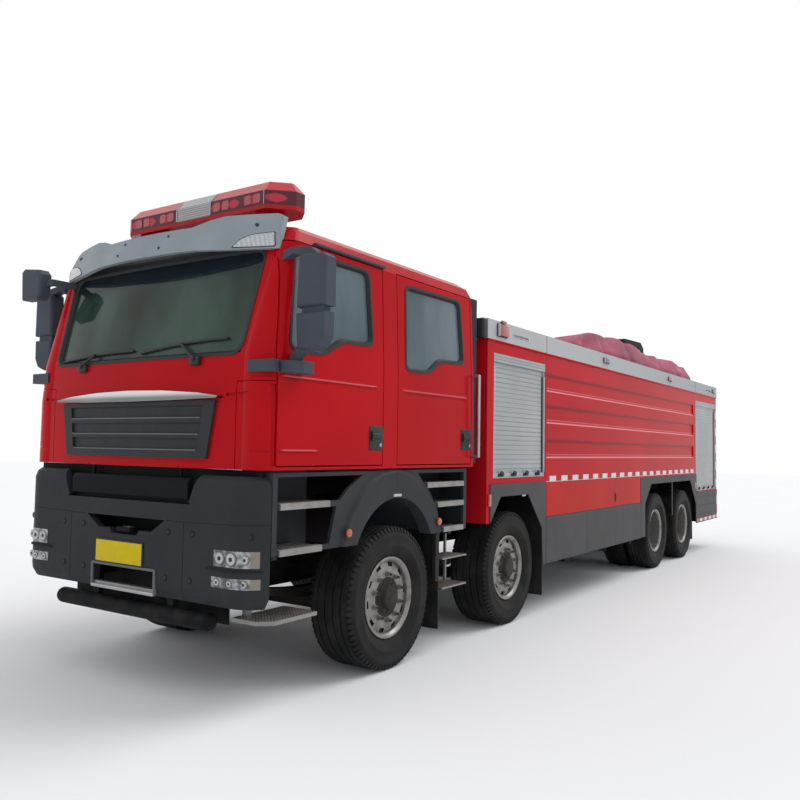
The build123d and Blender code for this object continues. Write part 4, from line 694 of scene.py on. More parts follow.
red_lens = lamp_glass("red_lens", srgb(130, 20, 34), srgb(206, 62, 78))
blue_lens = lamp_glass("blue_lens", srgb(30, 36, 110), srgb(92, 100, 190))
clear_lens = lamp_glass("clear_lens", srgb(150, 154, 158), srgb(222, 224, 226))
amber_lens = lamp_glass("amber_lens", srgb(150, 56, 10), srgb(222, 108, 34))
BAND_LAMPS = ((1.630, 0.100, 2.706, 0.060, 0), (4.380, 0.090, 2.706, 0.034, 1),
              (7.100, 0.090, 2.706, 0.034, 0),
              (9.830, 0.090, 2.706, 0.034, 1))
for side, s in SIDES:
    shape = bmesh.new()
    for y, half, z, tall, kind in BAND_LAMPS:
        brick(shape, out(s, BAND_X, 0.012), (y - half, y + half), (z - tall, z + tall), 0.005, 3, 2)
        brick(shape, (s * (BAND_X + 0.010), s * (BAND_X + 0.034)), (y - half + 0.010, y + half - 0.010),
              (z - tall + 0.009, z + tall - 0.009), 0.009, 3, kind)
        brick(shape, (s * (BAND_X + 0.008), s * (BAND_X + 0.032)), (y - half + 0.003, y - half + 0.014),
              (z - tall + 0.006, z + tall - 0.006), 0.004, 2, 3)
    brick(shape, (s * (BAND_X + 0.004), s * (BAND_X + 0.022)), (1.600, 1.690), (2.772, 2.800), 0.006, 3, 0)
    for y, half in ((2.050, 0.170), (9.450, 0.150)):
        brick(shape, out(s, BAND_X, 0.006), (y - half, y + half), (2.680, 2.712), 0.003, 2, 3)
        for k in range(12):
            slot = y - half + 0.015 + k * (2 * half - 0.03) / 12
            brick(shape, (s * (BAND_X + 0.005), s * (BAND_X + 0.0075)), (slot, slot + half * 0.09),
                  (2.686, 2.706), 0.001, 1, 2)
    brick(shape, (s * 1.150, s * (BAND_X + 0.003)), (1.275, 1.359), (2.605, 2.786), 0.022, 4, 2)
    for y in (2.642, 8.590):
        brick(shape, (s * (BAND_X - 0.002), s * (BAND_X + 0.0012)), (y - 0.003, y + 0.003), (2.615, 2.789),
              0.0004, 1, 2)
    brick(shape, (s * (BODY_X + 0.001), s * (BAND_X + 0.003)), (1.363, 10.066), (2.598, 2.611), 0.002, 2, 4)
    piece(f"band_lamps_{side}", shape, "chassis", red_lens, blue_lens, latch_black, clear_lens, body_paint,
          slot="red_lens")

# Skirts and wheel arches: grained dark grey plastic panels over the chassis, with side marker lamps and
# black steel straps below that carry them.
def grained(name, colour, grain=320.0, depth=0.16):
    """Moulded textured plastic: a fine leather grain, dusted paler towards the ground."""
    material, wire, plug = finish(name, Specular_IOR_Level=0.10)
    x, y, z = wire.place()
    dark = tuple(c * 0.82 for c in colour[:3]) + (1,)
    body = wire.noise(2.2, 4.0).step(0.3, 0.7).blend(dark, colour)
    grime = (1.2 - z).step(0.0, 1.1) * wire.noise(8.0, 6.0).step(0.4, 0.8)
    plug("Base Color", (grime * 0.12).blend(body, srgb(112, 104, 94)))
    plug("Roughness", 0.46 + wire.noise(25.0, 4.0) * 0.16)
    plug("Normal", wire.noise(grain, 3.0).bump(depth, 0.0012))
    return material


skirt_grey = grained("skirt_grey", srgb(80, 79, 80))
dress(skirt_grey, "skirts")
SKIRT_X = 1.240
STRAP_Y = (3.20, 4.40, 5.35)
for side, s in SIDES:
    shape = bmesh.new()
    for y, z in ((1.425, 1.170), (8.560, 1.100)):
        brick(shape, out(s, SKIRT_X, 0.016), (y - 0.020, y + 0.020), (z - 0.055, z + 0.055), 0.006, 3)
    for y in STRAP_Y:
        brick(shape, (s * 1.195, s * 1.225), (y, y + 0.05), (0.440, 0.490), 0.005, 2, 1)
        brick(shape, (s * 0.44, s * 1.215), (y + 0.01, y + 0.04), (0.440, 0.462), 0.005, 2, 1)
    brick(shape, out(s, SKIRT_X, 0.003), (2.10, 2.18), (1.180, 1.196), 0.001, 2, 2)
    piece(f"side_markers_{side}", shape, "chassis", amber_lens, chassis_black, clear_lens)
flap_rubber, wire, plug = finish("flap_rubber", Specular_IOR_Level=0.3)
x, y, z = wire.place()
plug("Base Color", wire.noise(6.0, 5.0).step(0.35, 0.8).blend(srgb(22, 22, 23), srgb(48, 46, 43)))
plug("Roughness", 0.6 + wire.noise(22.0, 4.0) * 0.25)
plug("Normal", x.waves(0.022).step(0.1, 0.5).bump(0.3, 0.002))
dress(flap_rubber, "mudflaps")

# Roof: a walkway of aluminium chequer plate between the coamings. The monitor's pedestal and tool mast
# stand up from it in black painted steel, with hoses, clamps and a control box.
def chequer_plate(name, dark, light, metallic=0.7, pitch=0.034):
    """Rolled plate with short raised bars that cross each other, bright where boots rub them."""
    material, wire, plug = finish(name)
    x, y, z = wire.place()
    first = (x + y).waves(pitch) * (x - y).waves(pitch / 3).step(0.2, 0.7)
    top = wire.upward()
    raised = first.step(0.45, 0.7) * top
    dirt = wire.noise(9.0, 6.0).step(0.35, 0.8)
    lip = wire.noise(5.0, 4.0).blend(srgb(128, 126, 123), srgb(158, 157, 155))
    plug("Base Color", (dirt * 0.5).blend(top.blend(lip, raised.blend(dark, light)), srgb(98, 90, 80)))
    plug("Metallic", metallic - dirt * 0.4)
    plug("Roughness", 0.34 + dirt * 0.3)
    plug("Normal", raised.bump(0.6, 0.003))
    return material


deck_plate = chequer_plate("deck_plate", srgb(120, 122, 124), srgb(170, 171, 171))
dress(deck_plate, "roof_deck")
DECK_Z = 2.700
deck_mesh = cad["roof_deck"].data
deck_mesh.materials.append(chassis_black)
for face in deck_mesh.polygons:
    if face.center.z > DECK_Z + 0.01:
        face.material_index = 1
shape = bmesh.new()
MAST_X = (-0.130, 0.110)
for y, low, high in ((8.46, 2.76, 3.30), (8.70, 2.82, 3.46), (8.96, 2.90, 3.50), (9.22, 2.82, 3.48),
                     (9.44, 2.76, 3.34)):
    for x, way in ((MAST_X[1], 1), (MAST_X[0], -1)):
        brick(shape, (x, x + way * 0.022), (y - 0.035, y + 0.035), (low, high), 0.006, 2)
        for z in (low + 0.06, high - 0.06):
            peg(shape, (x + way * 0.020, x + way * 0.034), y, z, 0.016, 6, 1)
for x, way in ((MAST_X[1], 1), (MAST_X[0], -1)):
    for z in (3.05, 3.24):
        bar(shape, (x + way * 0.052, 8.44, z), (x + way * 0.052, 9.46, z + 0.02), 0.026, 14, 0)
    brick(shape, (x, x + way * 0.09), (8.98, 9.20), (2.705, 2.860), 0.014, 3)
piece("mast_fittings", shape, "chassis", chassis_black, alloy)

# Roof monitor under its cover: one sheet of crimson coated cloth pulled over the barrel and its joints,
# falling in slanting folds to the deck, where its edge lies on the plate.
COVER_ROWS = (
    (4.880, 0.500, 0.240, 0.560, 2.880),
    (5.120, 0.530, 0.270, 0.760, 3.080),
    (5.480, 0.545, 0.290, 0.860, 3.268),
    (6.100, 0.555, 0.300, 0.900, 3.290),
    (6.900, 0.565, 0.300, 0.880, 3.286),
    (7.700, 0.600, 0.290, 0.760, 3.222),
    (8.250, 0.640, 0.290, 0.440, 3.185),
    (8.800, 0.690, 0.290, 0.440, 3.208),
    (9.350, 0.720, 0.280, 0.430, 3.150),
    (9.600, 0.730, 0.240, 0.380, 3.010),
)
COVER_PROFILE = ((-1.0, 0.0, 0.0), (-0.97, 0.5, -0.030), (-0.6, 1.0, -0.060), (0.0, 1.0, 0.0),
                 (0.55, 1.0, -0.035),
                 (0.97, 0.5, 0.0), (1.0, 0.0, 0.0))
COVER_START, COVER_END = COVER_ROWS[0][0], COVER_ROWS[-1][0]
FOLD_DEPTH = 0.050
CLOTH_THICKNESS = 0.003
tarp, wire, plug = finish("crimson_cloth", Sheen_Weight=0.15, Sheen_Roughness=0.5, Specular_IOR_Level=0.2)
x, y, z = wire.place()
weave = x.waves(0.004) * 0.5 + y.waves(0.004) * 0.5
faded = wire.noise(2.4, 4.0, (1, 0.4, 1)).step(0.3, 0.75)
plug("Base Color", faded.blend(srgb(132, 44, 70), srgb(184, 78, 106)))
plug("Roughness", 0.55 + wire.noise(12.0, 3.0) * 0.2)
plug("Normal", (weave * 0.2 + wire.noise(16.0, 5.0) * 0.8).bump(0.35, 0.006))


def row_at(station):
    """The cover's section at a station: ridge, half width, reach and ridge height."""
    for low, high in zip(COVER_ROWS, COVER_ROWS[1:]):
        if station <= high[0]:
            share = (station - low[0]) / (high[0] - low[0])
            return [a + (b - a) * share for a, b in zip(low, high)]
    return list(COVER_ROWS[-1])


cloth = bmesh.new()
bmesh.ops.create_grid(cloth, x_segments=64, y_segments=150, size=1.0)
for vert in cloth.verts:
    across, along = vert.co.x, (vert.co.y + 1) / 2
    station, ridge_x, left, reach, ridge_z = row_at(COVER_START + along * (COVER_END - COVER_START))
    spot = (across + 1) / 2 * (len(COVER_PROFILE) - 1)
    k = min(int(spot), len(COVER_PROFILE) - 2)
    (a0, h0, d0), (a1, h1, d1) = COVER_PROFILE[k], COVER_PROFILE[k + 1]
    share = spot - k
    a, h, d = a0 + (a1 - a0) * share, h0 + (h1 - h0) * share, d0 + (d1 - d0) * share
    tall = ridge_z - DECK_Z
    end = min(1.0, along / 0.025, (1 - along) / 0.025)
    x = ridge_x + a * (left if a > 0 else reach)
    z = DECK_Z + 0.004 + (h * tall + d) * end
    crease = noise.noise(Vector((across * 1.3 + station * 0.9, station * 1.6 - across * 1.2, 3.0)))
    slant = 1 - abs(math.sin(station * 4.1 + across * 2.6 + crease * 2.2)) ** 0.6
    swell = 0.5 + 0.5 * noise.noise(Vector((across * 2.0, station * 0.8, 9.0)))
    depth = FOLD_DEPTH * end * (0.75 * slant + 0.5 * swell) * min(1.0, h * 4 + 0.15)
    inward = Vector((ridge_x - x, 0, DECK_Z + tall * 0.35 - z)).normalized()
    vert.co = at(x, station, z) + inward * depth
cover = piece("monitor_sheet", cloth, "chassis", tarp, slot="cover_cloth", stands_for=["monitor_cover"])
thick = cover.modifiers.new("cloth", "SOLIDIFY")
thick.thickness = CLOTH_THICKNESS
thick.offset = -1

# Tail: aluminium lamp boards, a chequered rear step and a tube ladder. Each board holds a strip of round
# lamps in a black tray, and a blank plate hangs between them.
tail_alloy = chequer_plate("tail_plate", srgb(128, 129, 130), srgb(168, 168, 167), pitch=0.03)
dress(tail_alloy, "tail_boards")
TAIL_FACE = 10.120
shape = bmesh.new()
for s in (1, -1):
    brick(shape, (s * 0.920, s * 1.215), (TAIL_FACE, TAIL_FACE + 0.008), (0.640, 0.780), 0.005, 3, 2)
    for k, kind in enumerate((3, 0, 0, 4)):
        x = s * (0.965 + k * 0.070)
        peg(shape, x, (TAIL_FACE + 0.006, TAIL_FACE + 0.018), 0.725, 0.030, 24, kind, round_off=0.005)
        peg(shape, x, (TAIL_FACE + 0.006, TAIL_FACE + 0.010), 0.725, 0.034, 24, 1)
    brick(shape, (s * 0.935, s * 1.200), (TAIL_FACE + 0.006, TAIL_FACE + 0.012), (0.652, 0.680), 0.003, 2, 0)
brick(shape, (-0.26, 0.26), (BACK_Y, BACK_Y + 0.006), (0.800, 0.930), 0.004, 2, 5)
brick(shape, (-0.24, 0.24), (BACK_Y + 0.006, BACK_Y + 0.008), (0.812, 0.918), 0.001, 2, 2)
plate_yellow = mottled("plate_yellow", (200, 176, 14), (216, 192, 24), (20.0, 4.0), (0.35, 0.2, 60.0),
                       Specular_IOR_Level=0.1)
piece("tail_lamps", shape, "chassis", red_lens, alloy, latch_black, amber_lens, clear_lens, plate_yellow)
CORNER_STRIPS = ((BODY_X, 1.02, 2.44), (LOW_PANEL_X, 0.50, 0.94))
striped, wire, plug = finish("red_white_film")
x, y, z = wire.place()
band = (z + 10.0).waves(0.300).step(0.46, 0.52)
plug("Base Color", band.blend(srgb(206, 208, 208), srgb(176, 26, 34)))
plug("Roughness", 0.3 + wire.noise(80.0) * 0.15)
plug("Normal", ((y + z).waves(0.012) * (y - z).waves(0.012)).bump(0.2, 0.0005))
shape = bmesh.new()
for s in (1, -1):
    for x, z0, z1 in CORNER_STRIPS:
        brick(shape, out(s, x, 0.001), (10.012, 10.058), (z0, z1), 0.0003, 1)
    for x0, x1 in ((0.840, 0.890), (1.170, 1.220)):
        brick(shape, (s * x0, s * x1), (BACK_Y, BACK_Y + 0.001), (1.02, 2.56), 0.0003, 1)
piece("corner_film", shape, "chassis", striped, smooth=False)
lower_film, wire, plug = finish("skirt_film")
x, y, z = wire.place()
plug("Base Color", (y + 20.0).waves(0.300).step(0.46, 0.52).blend(srgb(206, 208, 208), srgb(176, 26, 34)))
plug("Roughness", 0.3 + wire.noise(80.0) * 0.15)
plug("Normal", wire.noise(300.0).bump(0.1, 0.0005))
shape = bmesh.new()
for s in (1, -1):
    brick(shape, out(s, LOW_PANEL_X, 0.001), (8.68, 10.0), (0.500, 0.548), 0.0003, 1)
piece("skirt_edge_film", shape, "chassis", lower_film, smooth=False)

# Cab: a pressed steel shell and four doors in bright red lacquer. The inside is lined with dark grained
# trim panels, which here are the faces that look towards the middle of the cab.
CAB_RED = srgb(184, 14, 24)
DOOR_FOLDS = (("front", 2.055, -1.285, -0.255), ("front", 1.594, -1.285, -0.900),
              ("rear", 2.055, 0.030, 1.060))


def painted_fold_light(wire, body):
    """Painted highlight on the pressed folds of the doors, with painted shade a little below them."""
    x, y, z = wire.place()
    side = abs(x).step(1.17, 1.18)
    for end, height, start, stop in DOOR_FOLDS:
        half = (stop - start) / 2
        along = abs(y - (AXLE_1 + start + half)).step(half, half - 0.06) * side
        # Painted shade just below each fold and a painted highlight on its crest.
        below = abs(z - (height - 0.016)).step(0.014, 0.004) * along * 0.4
        crest_highlight = abs(z - height).step(0.009, 0.003) * along * 0.7
        body = crest_highlight.blend(below.blend(body, srgb(122, 12, 20)), srgb(224, 104, 110))
    return body


cab_paint = paint("cab_paint", CAB_RED, gloss=0.20, coat=0.06, dust=0.1, edges=painted_fold_light)
DOORS = [f"door_{end}_{side}" for end in ("front", "rear") for side in ("left", "right")]
trim = grained("trim_lining", srgb(52, 53, 57), grain=420.0)
dress(cab_paint, "cab_shell", *DOORS)
CAB_HEART = at(0, -0.15, 2.28)
CAB_INSIDE = ((-1, 1.175), (-1.36, 1.12), (1.54, 3.01))
for name in ["cab_shell", *DOORS]:
    mesh = cad[name].data
    mesh.materials.append(trim)
    for face in mesh.polygons:
        middle = face.center
        spans = zip((abs(middle.x), middle.y - AXLE_1, middle.z), CAB_INSIDE)
        inside = all(low < value < high for value, (low, high) in spans)
        if inside and (middle - CAB_HEART).dot(face.normal) < 0:
            face.material_index = 1
dress(trim, "dash")
dress(grained("wheel_rim_grip", srgb(30, 30, 32), grain=600.0), "steering_wheel")

# Glass: a grey green laminated windscreen with a dark band along its top, and grey toughened side
# windows, all pressed into rubber at the edge of the steel.
def tinted(name, dark, light, band=None):
    """Tinted glass, its colour and opacity mottled in cloudy streaks as painted reflection and painted shade.
    A band darkens it above a height.
    """
    material, wire, plug = finish(name, Roughness=0.05, Specular_IOR_Level=0.2, Coat_Weight=0.1,
                                  Coat_Roughness=0.02)
    x, y, z = wire.place()
    # Cloudy streaks of painted reflection and painted shade in the glass's colour and opacity.
    reflection_mottle = wire.noise(1.6, 4.0, (1, 1, 0.4)).step(0.3, 0.7)
    shade = reflection_mottle.blend(dark, light)
    solid = 0.84 + reflection_mottle * 0.08
    if band:
        over = z.step(*band)
        shade = over.blend(shade, srgb(26, 34, 42))
        solid = solid + over * 0.08
    plug("Base Color", shade)
    plug("Alpha", solid)
    return material


dress(tinted("windscreen_glass", srgb(18, 32, 24), srgb(62, 84, 74), (2.700, 2.790)), "windscreen")
dress(tinted("side_glass", srgb(74, 90, 98), srgb(104, 118, 126)),
      *[f"glass_{end}_{side}" for end in ("front", "rear") for side in ("left", "right")])

# Window gaskets: black rubber extrusions round each pane, pushed onto the edge of the steel. The outer
# lip lies on the steel, the inner one on the glass, and round corners hide the square opening.
seal = mottled("window_rubber", (18, 19, 21), (34, 35, 37), (60.0, 4.0), (0.48, 0.2, 40.0),
               (0.1, 0.0008, 300.0, 2.0), Specular_IOR_Level=0.4)
WINDOWS = (
    ("front", [(-1.195, 2.240), (-1.130, 2.868), (-0.360, 2.868), (-0.325, 2.352), (-0.671, 2.340),
               (-0.878, 2.226)]),
    ("rear", [(0.112, 2.215), (0.122, 2.852), (0.940, 2.862), (0.985, 2.346), (0.604, 2.332),
              (0.436, 2.222)]),
)
SCREEN_MIDS = [k * 0.25 for k in range(-3, 4)]
SCREEN = [(-0.965, 2.200), (-1.000, 2.890), *[(x, 2.890) for x in SCREEN_MIDS],
          (1.000, 2.890), (0.965, 2.200), *[(-x, 2.200) for x in SCREEN_MIDS]]


def surface(*names):
    """The outside of CAD nodes, for finding where a piece touches them."""
    points, faces = [], []
    for name in names:
        mesh = cad[name].data
        start = len(points)
        points += [v.co.copy() for v in mesh.vertices]
        faces += [[start + i for i in p.vertices] for p in mesh.polygons]
    return BVHTree.FromPolygons(points, faces)


def from_side(s):
    """Looks at the vehicle's side: (station, height) to the start and direction of a line."""
    return lambda y, z: (at(s * 2.0, y, z), Vector((-s, 0, 0)))


def from_front(x, z):
    """Looks at the vehicle's front: (across, height) to the start and direction of a line."""
    return at(x, -2.5, z), Vector((0, 1, 0))


def touch(tree, look, u, v, lift):
    """The point where a line meets a surface, lifted back off it a little."""
    start, line = look(u, v)
    hit = tree.ray_cast(start, line)[0] or tree.find_nearest(start + line * 1.2)[0]
    return hit - line * lift


def front(tree, x, z, lift=0.0):
    """The station where a surface is met from the front, at a place across and a height."""
    return touch(tree, from_front, x, z, lift).y - AXLE_1


def rounded(points, grow, corner):
    """A flat outline moved out by grow, with its corners rounded."""
    flat = bmesh.new()
    verts = [flat.verts.new((u, v, 0)) for u, v in points]
    face = flat.faces.new(verts)
    face.normal_update()
    out = []
    for i, vert in enumerate(verts):
        run_in = (vert.co - verts[i - 1].co).normalized().cross(face.normal)
        run_out = (verts[(i + 1) % len(verts)].co - vert.co).normalized().cross(face.normal)
        mitre = (run_in + run_out).normalized()
        out.append(vert.co + mitre * (grow / mitre.dot(run_in)))
    for vert, place in zip(verts, out):
        vert.co = place
    bmesh.ops.bevel(flat, geom=verts, offset=corner, segments=5, profile=0.5, affect="VERTICES", material=-1)
    ring = [(v.co.x, v.co.y) for v in max(flat.faces, key=lambda f: f.calc_area()).verts]
    flat.free()
    return ring


def gasket(name, outline, look, steel, pane, body, lip=0.004, round_off=0.045):
    """A rubber ring that lies on the steel round an opening, turns in over its edge and ends on the pane."""
    shape = bmesh.new()
    outer = [touch(surface(steel), look, u, v, 0.0005) for u, v in rounded(outline, 0.018, round_off + 0.02)]
    middle = []
    for (u, v), beside in zip(rounded(outline, -0.002, round_off + 0.005), outer):
        start, line = look(u, v)
        middle.append(start + line * (beside - start).dot(line))
    inner = [touch(surface(pane), look, u, v, 0.0005) for u, v in rounded(outline, -0.016, round_off)]
    loops = []
    for ring in (outer, middle, inner):
        verts = [shape.verts.new(place) for place in ring]
        loops.append([shape.edges.new((verts[k - 1], verts[k])) for k in range(len(verts))])
    bmesh.ops.bridge_loops(shape, edges=loops[0] + loops[1])
    bmesh.ops.bridge_loops(shape, edges=loops[1] + loops[2])
    thicken(shape, list(shape.faces), -look(0, 2.5)[1] * lip)
    return piece(name, shape, body, seal, slot="rubber")


for side, s in SIDES:
    for end, outline in WINDOWS:
        gasket(f"gasket_{end}_{side}", outline, from_side(s), f"door_{end}_{side}", f"glass_{end}_{side}",
               f"door_{end}_{side}")
gasket("gasket_windscreen", SCREEN, from_front, "cab_shell", "windscreen", "cab", round_off=0.07)

# Door handles: a black moulded tray let into the door's rear corner, with a grip bar across it.
HANDLES = (("front", -0.352, -0.198, 1.605, 1.768), ("rear", 0.952, 1.112, 1.615, 1.780))
for side, s in SIDES:
    for end, y0, y1, z0, z1 in HANDLES:
        x = touch(surface(f"door_{end}_{side}"), from_side(s), (y0 + y1) / 2, (z0 + z1) / 2, 0).x
        shape = bmesh.new()
        brick(shape, (x, x + s * 0.006), (y0, y1), (z0, z1), 0.005, 3)
        brick(shape, (x, x + s * 0.003), (y0 - 0.006, y1 + 0.006), (z0 - 0.006, z1 + 0.006), 0.002, 2)
        brick(shape, (x + s * 0.004, x + s * 0.026), (y0 + 0.012, y1 - 0.012), (z1 - 0.085, z1 - 0.045),
              0.009, 3)
        brick(shape, (x + s * 0.004, x + s * 0.022), (y0 + 0.012, y0 + 0.040), (z1 - 0.100, z1 - 0.030),
              0.007, 3)
        peg(shape, (x + s * 0.004, x + s * 0.012), y1 - 0.030, z0 + 0.034, 0.013, 20, 1, round_off=0.002)
        for which, height, start, stop in DOOR_FOLDS:
            if which == end:
                x = touch(surface(f"door_{end}_{side}"), from_side(s), (start + stop) / 2, height, 0).x
                brick(shape, (x - s * 0.001, x + s * 0.0035), (start, stop), (height - 0.004, height + 0.004),
                      0.0018, 2, 2)
        piece(f"handle_{end}_{side}", shape, f"door_{end}_{side}", latch_black, alloy, cab_paint)
rail_steel = mottled("rail_steel", (140, 141, 142), (186, 187, 188), (5.0, 4.0), (0.28, 0.18, 120.0, 3.0),
                     (0.05, 0.0004, 500.0, 2.0, (1, 1, 0.1)), Metallic=0.9)
dress(rail_steel, "grab_rails")

# Mirrors: two grained black housings on a bracket at each front door, with silvered glass in their rear
# faces, and a ramp mirror on an arm at the right corner of the roof.
black_grain = grained("black_grain", srgb(74, 79, 89), grain=380.0, depth=0.12)
dress(black_grain, "mirror_left", "mirror_right", "cab_fittings")
silvered = mottled("mirror_glass", (206, 210, 212), (226, 229, 230), (2.0, 2.0), (0.03, 0.04, 8.0, 3.0),
                   Metallic=1.0)
MIRROR_BACK_Y = -1.135
MIRRORS = ([(1.290, 2.475), (1.300, 2.790), (1.325, 2.812), (1.490, 2.800), (1.518, 2.775), (1.520, 2.475)],
           [(1.300, 2.215), (1.286, 2.440), (1.512, 2.440), (1.508, 2.290), (1.470, 2.225), (1.420, 2.205)])
for side, s in SIDES:
    shape = bmesh.new()
    for outline in MIRRORS:
        glass_edge = rounded([(s * x, z) for x, z in outline], -0.014, 0.022)
        panel(shape, [(x, MIRROR_BACK_Y + 0.0002, z) for x, z in glass_edge], (0, 0.002, 0), 0.0008, 1)
        frame_edge = rounded([(s * x, z) for x, z in outline], -0.006, 0.026)
        panel(shape, [(x, MIRROR_BACK_Y, z) for x, z in frame_edge], (0, 0.0015, 0), 0.0005, 1, 1)
    piece(f"mirror_glass_{side}", shape, f"door_front_{side}", silvered, seal)

# Sun visor: a wide grained moulding in matt silver grey, held by countersunk bolts, with a clear position
# lamp let into each end.
visor_grey = grained("visor_grey", srgb(152, 162, 166), grain=360.0, depth=0.05)
dress(visor_grey, "sun_visor")
visor = surface("sun_visor")


def skin_pad(shape, outline, tree, look, lift, cuts=5, index=0):
    """A thin pad laid on a curved surface, with its outline as it is seen along the look."""
    part = bmesh.new()
    part.faces.new([part.verts.new((u, v, 0)) for u, v in outline])
    bmesh.ops.triangulate(part, faces=part.faces)
    bmesh.ops.subdivide_edges(part, edges=part.edges, cuts=cuts, use_grid_fill=True)
    for vert in part.verts:
        vert.co = touch(tree, look, vert.co.x, vert.co.y, 0.0004)
    thicken(part, list(part.faces), -look(0, 2.5)[1] * lift)
    for face in part.faces:
        face.material_index = index
    join(shape, part)


VISOR_LAMP = [(0.805, 2.896), (0.850, 2.940), (0.930, 2.970), (1.078, 2.980), (1.090, 2.890), (0.990, 2.890)]
VISOR_BOLTS = ((0.935, 3.040, 0.016), (0.243, 3.030, 0.010), (-0.213, 3.030, 0.010), (-0.259, 2.950, 0.010),
               (0.189, 2.950, 0.010), (-0.935, 3.040, 0.016))
shape = bmesh.new()
for s in (1, -1):
    skin_pad(shape, rounded([(s * x, z) for x, z in VISOR_LAMP], 0.0, 0.012), visor, from_front, 0.004,
             index=0)
    skin_pad(shape, rounded([(s * x, z) for x, z in VISOR_LAMP], 0.006, 0.014), visor, from_front, 0.0015,
             index=1)
for x, z, r in VISOR_BOLTS:
    y = front(visor, x, z)
    peg(shape, x, (y + 0.004, y - 0.004), z, r, 20, 1, round_off=0.002)
piece("visor_lamps", shape, "cab", clear_lens, latch_black)
shape = bmesh.new()
skin_pad(shape, [(-1.045, 2.886), (-1.010, 2.990), (1.010, 2.990), (1.045, 2.886)], surface("cab_shell"),
         from_front,
         0.003, cuts=9)
piece("screen_header", shape, "cab", seal)

# Light bar: a full width beacon with red covers over dark lenses, a silver loudspeaker section in its
# middle, and lamp modules behind the lens.
bar_cover, wire, plug = finish("beacon_cover", Coat_Weight=0.15, Coat_Roughness=0.05, Specular_IOR_Level=0.2,
                               Roughness=0.2)
x, y, z = wire.place()
middle = abs(x).step(0.182, 0.178)
lens_zone = z.step(3.396, 3.390)
module = ((x + 0.03).waves(0.180) * (z + 0.01).waves(0.100)).step(0.30, 0.42)
prism = x.waves(0.010) * z.waves(0.010)
cover_red = wire.noise(3.0, 3.0).blend(srgb(176, 30, 42), srgb(204, 52, 62))
lens_red = module.blend(srgb(86, 34, 48), srgb(190, 48, 66))
louvre = z.waves(0.016).step(0.2, 0.5).blend(srgb(128, 128, 128), srgb(176, 176, 176))
plug("Base Color", middle.blend(lens_zone.blend(cover_red, lens_red), louvre))
plug("Normal", (prism * lens_zone).bump(0.25, 0.001))
dress(bar_cover, "light_bar_lens")
dress(paint("beacon_base", srgb(176, 26, 38), gloss=0.3, coat=0.3, dust=0.1), "light_bar_base")
bar_skin = surface("light_bar_lens")
MODULE_X = (-0.620, -0.530, -0.340, -0.250, 0.250, 0.340, 0.560, 0.650)
shape = bmesh.new()
for x in MODULE_X:
    skin_pad(shape, rounded([(x - 0.034, 3.308), (x - 0.034, 3.374), (x + 0.034, 3.374), (x + 0.034, 3.308)],
                            0.0, 0.016), bar_skin, from_front, 0.0035, cuts=2)
for s in (1, -1):
    skin_pad(shape, [(s * 0.176, 3.294), (s * 0.176, 3.460), (s * 0.186, 3.460), (s * 0.186, 3.294)],
             bar_skin, from_front, 0.004, cuts=4, index=1)
    skin_pad(shape, [(s * 0.712, 3.294), (s * 0.712, 3.390), (s * 0.718, 3.390), (s * 0.718, 3.294)],
             bar_skin, from_front, 0.003, cuts=4, index=1)
piece("beacon_modules", shape, "cab", red_lens, alloy)

# Wipers: two arms of black painted steel on spindles under the screen, each with a sprung rubber blade
# parked along its foot.
screen = surface("windscreen", "cab_shell")
BLADE_CUTS, BLADE_BOW = 8, 0.012
WIPERS = ((-0.594, (-0.900, 2.222), (-0.060, 2.262)), (0.594, (0.030, 2.240), (0.830, 2.300)))
shape = bmesh.new()
for pivot, low, high in WIPERS:
    y = front(screen, pivot, 2.165)
    brick(shape, (pivot - 0.045, pivot + 0.045), (y - 0.030, y + 0.010), (2.130, 2.190), 0.012, 3)
    peg(shape, pivot, (y - 0.042, y - 0.028), 2.176, 0.018, 16, round_off=0.004)
    mid = ((low[0] + high[0]) / 2, (low[1] + high[1]) / 2)
    grip = touch(screen, from_front, *mid, 0.026)
    bar(shape, (pivot, y - 0.034, 2.176), (grip.x, grip.y - AXLE_1, grip.z + 0.012), 0.011, 8)
    blade = []
    for k in range(BLADE_CUTS + 1):
        share = k / BLADE_CUTS
        x = low[0] + (high[0] - low[0]) * share
        z = low[1] + (high[1] - low[1]) * share + BLADE_BOW * math.sin(math.pi * share)
        blade.append((x, front(screen, x, z, 0.012), z))
    for (x0, y0, z0), (x1, y1, z1) in zip(blade, blade[1:]):
        bar(shape, (x0, y0, z0), (x1, y1, z1), 0.009, 8)
        bar(shape, (x0, y0 + 0.006, z0 - 0.004), (x1, y1 + 0.006, z1 - 0.004), 0.006, 6)
piece("wipers", shape, "cab", latch_black)

# Grille: a deep black moulding with three horizontal mouths, bolted into the cab's front under a chromed
# bar that tapers to both ends.
grille_black = mottled("grille_black", (40, 42, 44), (54, 56, 58), (8.0, 4.0), (0.42, 0.14, 30.0),
                       (0.08, 0.001, 360.0, 2.0), Specular_IOR_Level=0.15)
dress(grille_black, "grille_panel")
grille_skin = surface("grille_panel")
LEDGES = ((1.585, 0.645), (1.687, 0.660), (1.793, 0.675))
LEDGE_R = 0.0045
ledge_grey = grained("grille_ledge", srgb(112, 114, 116), depth=0.05)
shape = bmesh.new()
for z, half in LEDGES:
    places = [half * (k / 8 - 1) for k in range(17)]
    ledge = [(x, front(grille_skin, x, z), z) for x in places]
    for start, stop in zip(ledge, ledge[1:]):
        bar(shape, start, stop, LEDGE_R, 8)
piece("grille_ledges", shape, "cab", ledge_grey)
bright, wire, plug = finish("chrome_bar", Metallic=1.0)
x, y, z = wire.place()
foot, head = (corner[2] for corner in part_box("grille_bar"))
